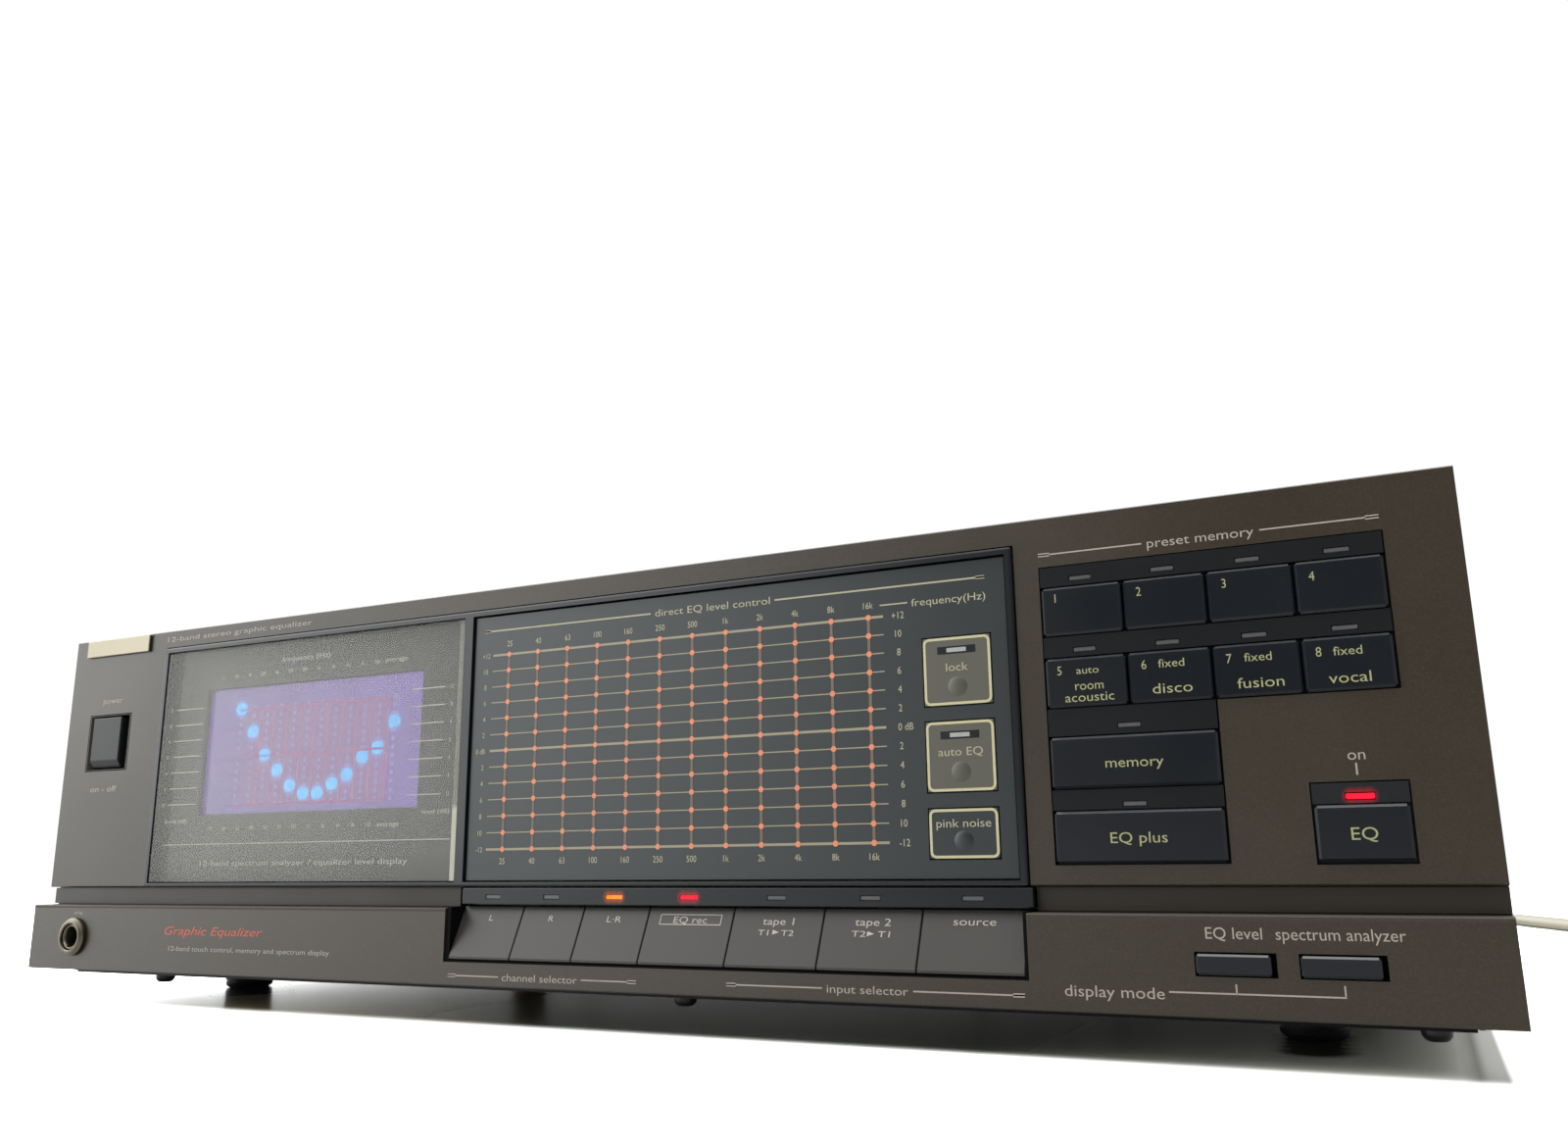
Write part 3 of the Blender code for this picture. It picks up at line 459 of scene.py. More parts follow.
def lathe(bm, profile, at, axis, steps=48):
    """A closed outline of (radius, height) points turned about an axis through a panel point."""
    matrix = standing(at, axis)
    rings = []
    for i in range(steps):
        a = math.tau * i / steps
        rings.append([bm.verts.new(matrix @ Vector((r * math.cos(a), r * math.sin(a), h)))
                      for r, h in profile])
    count = len(profile)
    for i in range(steps):
        near, far = rings[i], rings[(i + 1) % steps]
        for k in range(count):
            m = (k + 1) % count
            if profile[k][0] == profile[m][0] == 0:
                continue
            bm.faces.new((near[k], far[k], far[m], near[m]))
    on_axis = [v for ring in rings for v, (r, h) in zip(ring, profile) if r == 0]
    bmesh.ops.remove_doubles(bm, verts=on_axis, dist=1e-7)


def turned(name, profile, at, axis, steps, finish, body=CASE, smooth=35, replaces=None):
    """One lathed piece."""
    bm = bmesh.new()
    lathe(bm, profile, at, axis, steps)
    return make_piece(name, bm, finish, body, smooth, replaces)


# ---- printed marks

FRONT = Matrix(((1, 0, 0), (0, 0, -1), (0, 1, 0))).to_4x4()
REAR = Matrix(((-1, 0, 0), (0, 0, 1), (0, 1, 0))).to_4x4()


class Marks:
    """Thin raised marks of one ink on one plane, gathered into one piece.

    A mark is drawn in millimetres right of and above the plane's origin.
    """

    def __init__(self, origin, turn=FRONT):
        self.bm = bmesh.new()
        self.matrix = Matrix.Translation(place(*origin)) @ turn @ Matrix.Scale(MM, 4)

    def prism(self, outline, hole=()):
        """A flat mark with that outline, and an inner one of as many points if it has a hole."""
        loops = []
        for height in (-SUNK, INK):
            for points in (outline, hole):
                loops.append([self.bm.verts.new(self.matrix @ Vector((u, v, height))) for u, v in points])
        outer_low, inner_low, outer_high, inner_high = loops
        bridge(self.bm, outer_low, outer_high)
        if hole:
            bridge(self.bm, outer_high, inner_high)
            bridge(self.bm, inner_high, inner_low)
            bridge(self.bm, inner_low, outer_low)
        else:
            self.bm.faces.new(outer_high)
            self.bm.faces.new(reversed(outer_low))

    def bar(self, across, up):
        (a, b), (c, d) = across, up
        self.prism(((a, c), (b, c), (b, d), (a, d)))

    def line(self, start, end, width):
        """A straight rule between two points."""
        start, end = Vector(start), Vector(end)
        along = (end - start).normalized()
        side = Vector((-along.y, along.x)) * width / 2
        self.prism([tuple(p) for p in (start - side, end - side, end + side, start + side)])

    def rules(self, width, *ends):
        """Straight rules, each from two points written as four numbers."""
        for a, b, c, d in ends:
            self.line((a, b), (c, d), width)

    def disc(self, at, radius, steps=16, stretch=1.0):
        turns = [math.tau * i / steps for i in range(steps)]
        self.prism([(at[0] + stretch * radius * math.cos(t), at[1] + radius * math.sin(t)) for t in turns])

    def frame(self, across, up, corner, width):
        """The outline of a rounded rectangle."""
        outer = rounded_rectangle(across, up, corner)
        inner = rounded_rectangle((across[0] + width, across[1] - width), (up[0] + width, up[1] - width),
                                  max(corner - width, 0.05))
        self.prism(outer, inner)

    def words(self, text, at, cap, width=None, shear=0.0, squeeze=0.86, weight=-0.006):
        """Text centred on at, with that cap height; width squeezes it to an exact length."""
        curve = bpy.data.curves.new("letters", "FONT")
        curve.body = text
        curve.size = cap / CAP_SHARE
        curve.shear = shear
        curve.offset = weight
        curve.extrude = (INK + SUNK) / 2
        curve.resolution_u = 3
        carrier = bpy.data.objects.new("letters", curve)
        mesh = bpy.data.meshes.new_from_object(carrier)
        bpy.data.objects.remove(carrier)
        xs = [v.co.x for v in mesh.vertices]
        long = max(xs) - min(xs)
        scale = width / long if width else squeeze
        left = at[0] - scale * (max(xs) + min(xs)) / 2
        shift = Matrix.Translation((left, at[1] - cap / 2, (INK - SUNK) / 2))
        mesh.transform(self.matrix @ shift @ Matrix.Diagonal((scale, 1.0, 1.0, 1.0)))
        self.bm.from_mesh(mesh)
        bpy.data.meshes.remove(mesh)

    def texts(self, *entries):
        """Words, each given by its text, two coordinates, width or None, and cap height."""
        for text, x, z, width, cap in entries:
            self.words(text, (x, z), cap, width)

    def done(self, name, finish, body=CASE):
        return make_piece(name, self.bm, finish, body)


def rounded_rectangle(across, up, corner, steps=5):
    """Corner arcs of a rounded rectangle, counter-clockwise."""
    (a, b), (c, d) = across, up
    points = []
    for x, z, start in ((b - corner, d - corner, 0), (a + corner, d - corner, 90),
                        (a + corner, c + corner, 180), (b - corner, c + corner, 270)):
        for i in range(steps + 1):
            turn = math.radians(start + 90 * i / steps)
            points.append((x + corner * math.cos(turn), z + corner * math.sin(turn)))
    return points


FASCIA_INK = ink("fascia_ink", (0.27, 0.235, 0.205))
KEY_INK = ink("key_ink", (0.25, 0.245, 0.12))
TITLE_INK = ink("title_ink", (0.42, 0.05, 0.02))
TOUCH_INK = ink("touch_ink", (0.29, 0.27, 0.18))
LEVEL_LINE_INK = ink("level_line_ink", (0.22, 0.195, 0.13))
BAND_LINE_INK = ink("band_line_ink", (0.105, 0.075, 0.055))
OUTLINE_INK = ink("outline_ink", (0.38, 0.345, 0.21))
# Printed dots whose faint emission is a painted glow: they are ink, not lamps.
GLOWING_DOT_INK = Finish("dot_ink_painted_glow", (0.50, 0.155, 0.075), 0.45, 0.0, Emission_Color=(1.0, 0.26, 0.12, 1.0),
                 Emission_Strength=0.06)
GLOWING_DOT_INK.tint(GLOWING_DOT_INK.noise(0.4, 2.0), 0.12)
SELECTOR_INK = ink("selector_ink", (0.28, 0.25, 0.23))
WINDOW_INK = ink("window_ink", (0.27, 0.262, 0.222))
REAR_INK = ink("rear_ink", (0.015, 0.015, 0.015))

BANDS = ("25", "40", "63", "100", "160", "250", "500", "1k", "2k", "4k", "8k", "16k")


def ruled_title(marks, text, at, cap, width, left, right):
    """A title between two rules that end in a short thick stroke."""
    half = width / 2 + 1.2
    x, z = at
    for outer, inner in ((left, x - half), (right, x + half)):
        marks.line((outer, z), (inner, z), 0.32)
        thick = outer + math.copysign(2.6, inner - outer)
        marks.line((outer, z), (thick, z), 0.85)
    marks.words(text, at, cap, width)


def print_fascias():
    upper = Marks((0, 0, 0))
    ruled_title(upper, "preset memory", (379.4, 74.5), 2.2, 22.6, 343.3, 415.3)
    upper.texts(("on", 406.0, 25.9, 3.3, 2.3), ("power", 21.6, 61.7, 9.6, 2.0),
                ("on - off", 21.4, 32.0, 13.0, 2.0),
                ("12-band stereo graphic equalizer", 79.5, 80.5, 66.0, 1.7))
    upper.rules(0.35, (405.8, 21.7, 405.8, 24.1))
    upper.done("legends_upper_fascia", FASCIA_INK)

    face = reach("lower_fascia")[0].y
    lower = Marks((0, face, 0))
    lower.texts(("EQ level", 379.9, -9.1, 10.9, 2.4), ("spectrum analyzer", 399.6, -9.1, 23.4, 2.4),
                ("display mode", 355.2, -21.2, 20.6, 2.4), ("mic", 22.6, -7.9, 4.2, 1.4),
                ("12-band touch control, memory and spectrum display", 100.2, -18.2, 67.0, 1.5))
    lower.rules(0.32, (366.4, -20.9, 399.8, -20.9), (379.6, -20.9, 379.6, -19.0),
                (399.64, -20.9, 399.64, -18.7))
    ruled_title(lower, "channel selector", (207.6, -23.0), 1.9, 24.0, 177.4, 237.4)
    ruled_title(lower, "input selector", (299.5, -22.7), 1.9, 20.0, 263.0, 336.2)
    lower.done("legends_lower_fascia", FASCIA_INK)

    title = Marks((0, face, 0))
    title.words("Graphic Equalizer", (85.4, -12.9), 2.6, 42.3, shear=0.28)
    title.done("title_lower_fascia", TITLE_INK)


PRESET_WORDS = {
    "preset_key_1": (("1", 346.9, 63.9, None, 2.1),),
    "preset_key_2": (("2", 365.6, 63.6, None, 2.1),),
    "preset_key_3": (("3", 383.7, 63.5, None, 2.1),),
    "preset_key_4": (("4", 401.3, 63.2, None, 2.1),),
    "preset_key_5": (("5", 346.9, 47.2, None, 2.1), ("auto", 353.2, 47.0, 5.0, 1.7),
                     ("room", 353.4, 43.6, 6.3, 2.1), ("acoustic", 353.3, 41.0, 10.9, 2.1)),
    "preset_key_6": (("6", 365.6, 47.2, None, 2.1), ("fixed", 371.4, 47.2, 5.5, 1.9),
                     ("disco", 371.3, 41.8, 8.4, 2.3)),
    "preset_key_7": (("7", 383.4, 47.1, None, 2.1), ("fixed", 389.2, 47.1, 5.5, 1.9),
                     ("fusion", 389.3, 41.7, 9.3, 2.3)),
    "preset_key_8": (("8", 401.1, 47.1, None, 2.1), ("fixed", 406.6, 47.0, 5.5, 1.9),
                     ("vocal", 406.5, 41.5, 8.0, 2.3)),
    "memory_key": (("memory", 362.0, 26.3, 12.4, 2.3),),
    "eq_plus_key": (("EQ plus", 361.8, 10.2, 12.0, 2.4),),
    "eq_key": (("EQ", 406.0, 10.2, 4.9, 2.6),),
}


def print_preset_keys():
    for key, entries in PRESET_WORDS.items():
        marks = Marks((0, reach(key)[0].y, 0))
        marks.texts(*entries)
        marks.done(f"{key}_legend", KEY_INK, key)


SLOPE_FOOT = (-4.6, -18.15)
SLOPE_HEAD = (1.6, -5.2)
SELECTOR_WORDS = {
    "channel_key_left": (("L", 0.25, 11.05, 1.3, 1.7),),
    "channel_key_right": (("R", 0.0, 11.05, 1.5, 1.7),),
    "channel_key_both": (("L·R", 0.0, 11.05, 4.4, 1.7),),
    "eq_rec_key": (("EQ rec", 0.3, 11.15, 9.6, 1.8),),
    "tape_1_key": (("tape 1", 0.4, 11.05, 8.4, 1.9), ("T1   T2", 0.2, 8.15, 9.6, 1.5)),
    "tape_2_key": (("tape 2", 0.4, 11.15, 9.0, 1.9), ("T2   T1", 0.2, 8.25, 9.6, 1.5)),
    "source_key": (("source", 0.1, 11.55, 10.0, 1.9),),
}


def print_selector_keys():
    """Legends on the keys' slopes, whose own upward axis leans back."""
    rise = Vector((0, SLOPE_HEAD[0] - SLOPE_FOOT[0], SLOPE_HEAD[1] - SLOPE_FOOT[1])).normalized()
    outward = Vector((1, 0, 0)).cross(rise)
    turn = Matrix((Vector((1, 0, 0)), rise, outward)).transposed().to_4x4()
    for key, entries in SELECTOR_WORDS.items():
        marks = Marks((middle(key).x, *SLOPE_FOOT), turn)
        marks.texts(*entries)
        if key == "eq_rec_key":
            marks.frame((-8.6, 9.2), (9.75, 12.55), 0.2, 0.22)
        if key.startswith("tape"):
            marks.prism(((-0.7, 7.65), (1.1, 8.25), (-0.7, 8.85)))
        marks.done(f"{key}_legend", SELECTOR_INK, key)


GRID_X = [190.3 + 10.0 * i for i in range(12)]
GRID_Z = [9.9 + 4.5 * i for i in range(13)]
LEVELS = ("-12", "10", "8", "6", "4", "2", "0 dB", "2", "4", "6", "8", "10", "+12")


def print_touch_panel():
    face = reach("touch_panel")[0].y
    levels = Marks((0, face, 0))
    for i, z in enumerate(GRID_Z):
        levels.line((184.6, z), (304.2, z), 0.62 if i in (0, 6, 12) else 0.28)
    levels.done("touch_level_lines", LEVEL_LINE_INK)

    bands = Marks((0, face - INK, 0))
    for x in GRID_X:
        bands.line((x, GRID_Z[0]), (x, GRID_Z[-1]), 0.75)
    bands.done("touch_band_lines", BAND_LINE_INK)

    dots = Marks((0, face - 2 * INK, 0))
    for x in GRID_X:
        for z in GRID_Z:
            dots.disc((x, z), 0.72)
    dots.done("touch_grid_dots", GLOWING_DOT_INK)

    words = Marks((0, face, 0))
    for x, band in zip(GRID_X, BANDS):
        words.words(band, (x, 67.0), 1.7)
        words.words(band, (x, 6.8), 1.7)
    for z, level in zip(GRID_Z, LEVELS):
        words.words(level, (308.0 if level != "0 dB" else 309.2, z), 1.8)
        words.words(level, (182.2 if level != "0 dB" else 181.3, z), 1.5)
    words.texts(("direct EQ level control", 256.0, 71.1, 34.5, 2.0),
                ("frequency(Hz)", 320.9, 66.6, 18.6, 1.9))
    words.rules(0.42, (181.2, 71.0, 237.3, 71.0), (274.6, 71.0, 330.2, 71.0))
    words.rules(0.8, (181.2, 71.0, 183.4, 71.0), (328.0, 71.0, 330.2, 71.0))
    words.rules(0.32, (303.4, 66.7, 310.6, 66.7))
    words.done("touch_panel_legends", TOUCH_INK)


TOUCH_TEXT = {
    "lock_key": ("lock", 50.2, 5.4, 54.2, 45.5),
    "auto_eq_key": ("auto EQ", 30.4, 10.8, 34.2, 25.7),
    "pink_noise_key": ("pink noise", 14.1, 13.1, None, 10.0),
}


def print_touch_keys():
    """Each key's outline, name, light slot and the small dome under its film."""
    for key, (text, z, width, slot_z, dome_z) in TOUCH_TEXT.items():
        low, high = reach(key)
        x = (low.x + high.x) / 2
        outline = Marks((0, low.y, 0))
        outline.frame((low.x + 0.05, high.x - 0.05), (low.z + 0.05, high.z - 0.05), 1.5, 0.62)
        outline.done(f"{key}_outline", OUTLINE_INK, key)
        name = Marks((0, low.y, 0))
        name.words(text, (x, z), 2.0, width)
        name.done(f"{key}_name", TOUCH_INK, key)
        if slot_z:
            slot = Marks((0, low.y, 0))
            slot.bar((x - 4.7, x + 4.7), (slot_z - 0.9, slot_z + 0.9))
            slot.done(f"{key}_light_slot", FINISHES["black_gloss"], key)
            light = Marks((0, low.y - INK, 0))
            light.bar((x - 2.4, x + 2.4), (slot_z - 0.5, slot_z + 0.5))
            light.done(f"{key}_light", PALE_LENS, key)
        dome = [(0.0, -0.15), (2.35, -0.15), (2.35, 0.0), (2.1, 0.10), (1.5, 0.22), (0.8, 0.29), (0.0, 0.31)]
        film = "touch_film" if key == "pink_noise_key" else "touch_key_film"
        turned(f"{key}_dome", dome, (x, low.y, dome_z), (0, -1, 0), 32, DOME_FILM[film], key, 60)


PALE_LENS = Finish("pale_lens", (0.26, 0.265, 0.255), 0.3)
PALE_LENS.tint(PALE_LENS.noise(1.0, 1.0), 0.08)
DOME_FILM = {
    "touch_film": moulded("dome_film_dark", (0.0155, 0.0192, 0.021), 0.3, 1.1, 0.001, 0.04, spec=0.4),
    "touch_key_film": moulded("dome_film", (0.058, 0.055, 0.043), 0.34, 1.1, 0.001, 0.04, spec=0.4),
}


# ---- display

LIT_DOT = lamp("display_dot_lit", (0.085, 0.50, 1.0), 0.92, (0.03, 0.12, 0.20))
DARK_DOT = Finish("display_dot_dark", (0.20, 0.16, 0.30), 0.4, 0.0, Emission_Color=(0.30, 0.16, 0.62, 1.0),
                  Emission_Strength=0.40)
SCALE_LINE = Finish("display_scale_line", (0.09, 0.045, 0.08), 0.4, 0.0,
                    Emission_Color=(0.85, 0.26, 0.70, 1.0), Emission_Strength=0.33)


def make_display():
    """Lit and unlit dots, and the faint scale lines, on the front of the display tube."""
    face = reach("fl_display")[0].y
    lit, dark, scale = Marks((0, face, 0)), Marks((0, face, 0)), Marks((0, face, 0))
    for x, level in zip(DISPLAY_X, CURVE):
        for step in range(-6, 7):
            at = (x, ZERO_Z + STEP_Z * step)
            if step == level:
                lit.disc(at, 1.85, 24, 1.35)
            else:
                dark.disc(at, 0.7, 24)
    for z in SCALE_Z:
        scale.line((SCALE_X[0], z), (SCALE_X[1], z), 0.8)
    for x in (SCALE_X[1], *(x + 3.0 for x in DISPLAY_X[1:-2])):
        scale.line((x, SCALE_Z[0]), (x, SCALE_Z[2]), 0.7)
    lit.done("display_dots_lit", LIT_DOT)
    dark.done("display_dots_dark", DARK_DOT)
    scale.done("display_scale_lines", SCALE_LINE)


def make_painted_window_glint():
    """A painted highlight: a pale line along the window's right edge, standing in for light caught by the
    acrylic's edge, strong only at its foot.
    """
    made = Finish("window_edge", (0.40, 0.385, 0.31), 0.4)
    foot = place(0, 0, 21.0).z
    made.sets(Alpha=made.ranged(made.axes(made.spot)["Z"], foot, foot + 2 * MM, 0.8, 0.14, smooth=True))
    made.tint(made.noise(1.0, 2.0), 0.08)
    return made


def print_window():
    """The window's own legends, and a painted highlight along its right edge."""
    marks = Marks((0, reach("display_window")[0].y, 0))
    for x, band in zip(DISPLAY_X, BANDS):
        marks.words(band, (x + 0.6, 65.6), 1.2)
        marks.words(band, (x + 0.6, 17.7), 1.2)
    for z, level in zip((56.2, 51.1, 46.0, 40.9, 35.8, 30.7, 25.6), ("12", "8", "4", "0", "4", "8", "12")):
        marks.rules(0.3, (155.5, z, 168.0, z), (55.0, z, 67.5, z))
        marks.texts((level, 170.6, z, None, 1.2), (level, 52.6, z, None, 1.2))
    average_x = DISPLAY_X[-1] + 8.0
    marks.texts(("frequency (Hz)", 111.5, 69.5, 20.5, 1.7), ("average", average_x, 65.9, 8.6, 1.4),
                ("average", average_x, 17.7, 8.6, 1.4), ("level (dB)", 59.5, 20.4, 10.5, 1.2),
                ("level (dB)", 166.5, 20.8, 10.0, 1.2),
                ("12-band spectrum analyzer / equalizer level display", 114.5, 7.2, 85.0, 1.7))
    marks.rules(0.3, (54.0, 13.0, 172.0, 13.0))
    marks.done("display_window_legends", WINDOW_INK)

    low, high = reach("display_window")
    # A painted highlight strip along the window's right edge.
    edge = Marks((0, low.y, 0))
    edge.bar((high.x - 1.7, high.x - 0.05), (low.z + 0.1, high.z - 0.1))
    edge.done("display_window_painted_glint", make_painted_window_glint())


# ---- lamps

LIGHT = (5.2, 1.2)
EQ_LIGHT = (5.6, 1.35)
MEMORY_LIGHT_X = 361.4
DARK_LENS = moulded("dark_lens", (0.065, 0.063, 0.066), 0.30, 0.8, 0.002, spec=0.4)
ORANGE_LENS = lamp("orange_lens", ORANGE_GLOW, 1.5, (0.30, 0.06, 0.01), Specular_IOR_Level=0.15)
RED_LENS = lamp("red_lens", RED_GLOW, 1.15, (0.30, 0.01, 0.02), Specular_IOR_Level=0.15)
SELECTOR_LIGHTS = {
    188.0: DARK_LENS, 207.4: DARK_LENS, ORANGE_AT[0]: ORANGE_LENS, RED_AT[0]: RED_LENS,
    274.4: DARK_LENS, 299.0: DARK_LENS, 324.0: DARK_LENS,
}


def lens(name, at, size, face, finish):
    """A light bar with softened edges, standing in its window."""
    bm = bmesh.new()
    half_x, half_z = size[0] / 2 - 0.12, size[1] / 2 - 0.12
    panel_box(bm, (at[0] - half_x, face, at[1] - half_z), (at[0] + half_x, face + 1.6, at[1] + half_z))
    bmesh.ops.bevel(bm, geom=bm.edges[:], offset=0.12 * MM, segments=2, affect="EDGES")
    make_piece(name, bm, finish)


def make_lamps():
    strip = reach("led_strip")[0].y + 0.12
    for number, (x, finish) in enumerate(SELECTOR_LIGHTS.items(), 1):
        lens(f"selector_lens_{number}", (x, SELECTOR_LIGHT_Z), LIGHT, strip, finish)
    bezel = reach("preset_bezel")[0].y + 0.12
    for column in range(4):
        x = middle(f"preset_key_{column + 1}").x
        lens(f"preset_lens_{column + 1}", (x, 68.3), LIGHT, bezel, DARK_LENS)
        lens(f"preset_lens_{column + 5}", (x, 51.8), LIGHT, bezel, DARK_LENS)
    lens("memory_lens", (MEMORY_LIGHT_X, 34.3), LIGHT, bezel, DARK_LENS)
    lens("eq_plus_lens", (MEMORY_LIGHT_X, 17.3), LIGHT, bezel, DARK_LENS)
    lens("eq_lens", EQ_LIGHT_AT, EQ_LIGHT, bezel, RED_LENS)


# ---- screws, feet and sockets

SCREW_BLACK = moulded("screw_black", (0.02, 0.02, 0.02), 0.32, 0.3, 0.004, 0.15, 0.6)


def screw(bm, at, axis, head_d=5.8, head_h=2.2):
    """A pan-head screw with a cross recess in its crown."""
    matrix = standing(at, axis)
    radius = head_d / 2
    steps = 32
    arm = 0.42
    shoulder = [(radius, -0.2), (radius, 0.35 * head_h), (0.93 * radius, 0.62 * head_h),
                (0.78 * radius, 0.86 * head_h), (0.62 * radius, head_h)]
    rings = []
    for r, h in shoulder:
        turns = [math.tau * i / steps for i in range(steps)]
        rings.append([bm.verts.new(matrix @ Vector((r * math.cos(a), r * math.sin(a), h))) for a in turns])
    tip = 0.5 * radius
    cross = []
    for quarter in range(4):
        a = math.pi / 2 * quarter
        for u, v in ((tip, -arm), (tip, arm), (arm, arm)):
            cross.append((u * math.cos(a) - v * math.sin(a), u * math.sin(a) + v * math.cos(a)))
    rim = [bm.verts.new(matrix @ Vector((u, v, head_h))) for u, v in cross]
    floor = [bm.verts.new(matrix @ Vector((0.7 * u, 0.7 * v, head_h * 0.45))) for u, v in cross]
    for near, far in zip(rings, rings[1:]):
        bridge(bm, near, far)
    bm.faces.new(reversed(rings[0]))
    bridge(bm, floor, rim)
    bm.faces.new(floor)
    edges = [bm.edges.get((ring[i], ring[(i + 1) % len(ring)]))
             for ring in (rings[-1], rim) for i in range(len(ring))]
    bmesh.ops.triangle_fill(bm, use_beauty=True, use_dissolve=False, edges=edges)


def make_screws():
    """Case screws: under the chassis, on both sides, and on the rear panel."""
    under = reach("bottom_chassis")[0].z
    left, right = reach("top_cover")[0].x, reach("top_cover")[1].x
    back = reach("rear_panel")[1].y
    groups = {
        "chassis_screws": ([(x, 9.9, under) for x in (48.0, 243.0, 414.6)]
                           + [(x, 250.0, under) for x in (48.0, 243.0, 400.0)]
                           + [(x, y, under) for x in (324.0, 382.0) for y in (146.0, 192.0)], (0, 0, -1)),
        "side_screws_left": ([(left, y, -14.0) for y in (40.0, 228.0)], (-1, 0, 0)),
        "side_screws_right": ([(right, y, -14.0) for y in (40.0, 228.0)], (1, 0, 0)),
        "rear_screws": ([(x, back, z) for x in (18.0, 215.0, 412.0) for z in (-19.0, 72.0)]
                        + [(x, back + 1.5, 18.0) for x in (77.5, 142.5, 167.5, 232.5)], (0, 1, 0)),
    }
    for name, (spots, axis) in groups.items():
        bm = bmesh.new()
        for at in spots:
            screw(bm, at, axis)
        make_piece(name, bm, SCREW_BLACK, smooth=40)


def make_feet():
    """Moulded feet with a recessed screw hole and a soft ring to stand on."""
    for name in sorted(n for n in NODES if n.startswith("foot_")):
        low, high = reach(name)
        radius = (high.x - low.x) / 2
        tall = high.z - low.z
        at = ((low.x + high.x) / 2, (low.y + high.y) / 2, low.z)
        profile = [(0, 3.2), (2.6, 3.2), (2.6, 0.7), (3.4, 0.1), (radius - 2.4, 0.0), (radius - 1.5, 0.12),
                   (radius - 0.8, 0.5), (radius - 0.4, 1.1), (radius - 0.3, 2.0), (radius - 0.55, 2.15),
                   (radius - 0.55, 2.5), (radius - 0.15, 2.7), (radius, tall), (0, tall)]
        turned(f"{name}_moulding", profile, at, (0, 0, 1), 56, FINISHES["foot_rubber"],
               replaces=name)


JACK_RING = metal("jack_ring", (0.115, 0.106, 0.078), 0.36)


def make_mic_jack():
    """The microphone jack's bush and its ring nut."""
    low, high = reach("mic_jack")
    at = (middle("mic_jack").x, low.y, middle("mic_jack").z)
    long = high.y - low.y
    bush = [(3.2, 0.35), (3.35, 0.1), (3.6, 0.0), (3.85, 0.1), (4.0, 0.4), (4.0, 5.3), (6.4, 5.3),
            (6.4, long), (3.0, long), (3.0, 0.9)]
    turned("mic_jack_bush", bush, at, (0, 1, 0), 64, JACK_RING, replaces="mic_jack")
    low, high = reach("mic_jack_nut")
    long = high.y - low.y
    nut = [(4.1, 0.25), (4.4, 0.0), (4.9, 0.0), (5.3, 0.25), (5.6, 0.75), (5.9, 0.95), (5.9, long),
           (4.1, long)]
    turned("mic_jack_ring", nut, (at[0], low.y, at[2]), (0, 1, 0), 64, JACK_RING,
           replaces="mic_jack_nut")
    turned("mic_jack_floor", [(0, 6.0), (2.95, 6.0), (2.95, 9.0), (0, 9.0)], at, (0, 1, 0), 40,
           FINISHES["jack_black"])


JACK_RED = moulded("jack_red", (0.35, 0.015, 0.015), 0.35)
JACK_WHITE = moulded("jack_white", (0.62, 0.60, 0.55), 0.35)
SOCKET_PITCH = 18.0
SOCKET_Z = (11.0, 25.0)


def make_sockets():
    """Plated sleeves and coloured inserts on the phono sockets."""
    for block in ("line_jack_block", "tape_jack_block"):
        tip = reach(block)[1].y
        centre = middle(block).x
        sleeves, inserts = bmesh.new(), {z: bmesh.new() for z in SOCKET_Z}
        for i in range(4):
            x = centre + SOCKET_PITCH * (i - 1.5)
            for z in SOCKET_Z:
                sleeve = [(3.32, -0.9), (3.36, 0.12), (3.6, 0.25), (4.1, 0.18), (4.3, -0.25), (4.3, -6.6),
                          (4.9, -6.7), (4.9, -7.1), (4.22, -7.1), (4.22, -0.55), (3.9, -0.2), (3.5, -0.2)]
                lathe(sleeves, sleeve, (x, tip, z), (0, 1, 0), 40)
                insert = [(1.72, -5.5), (1.72, 0.05), (1.9, 0.16), (3.0, 0.16), (3.26, 0.05), (3.26, -0.6),
                          (2.4, -0.6), (2.4, -5.5)]
                lathe(inserts[z], insert, (x, tip, z), (0, 1, 0), 32)
        make_piece(f"{block}_sleeves", sleeves, FINISHES["nickel"], smooth=35)
        make_piece(f"{block}_inserts_right", inserts[SOCKET_Z[0]], JACK_RED, smooth=35)
        make_piece(f"{block}_inserts_left", inserts[SOCKET_Z[1]], JACK_WHITE, smooth=35)


def print_rear():
    """Plain socket names on the rear panel, read from behind."""
    marks = Marks((0, reach("rear_panel")[1].y, 0), REAR)
    for block, names in (("line_jack_block", ("in", "out")), ("tape_jack_block", ("rec", "play"))):
        x = middle(block).x
        for side, name in zip((1, -1), names):
            centre = -(x + side * SOCKET_PITCH)
            marks.words(name, (centre, 39.5), 2.2)
            marks.line((centre - 14.0, 37.0), (centre + 14.0, 37.0), 0.4)
        marks.words(block.split("_")[0], (-x, 44.5), 2.6)
        for z, name in zip(SOCKET_Z, ("R", "L")):
            marks.words(name, (-(x + 38.6), z), 2.2)
    marks.words("AC in", (-372.0, 0.0), 2.4)
    marks.done("legends_rear_panel", REAR_INK)


# ---- mains cord

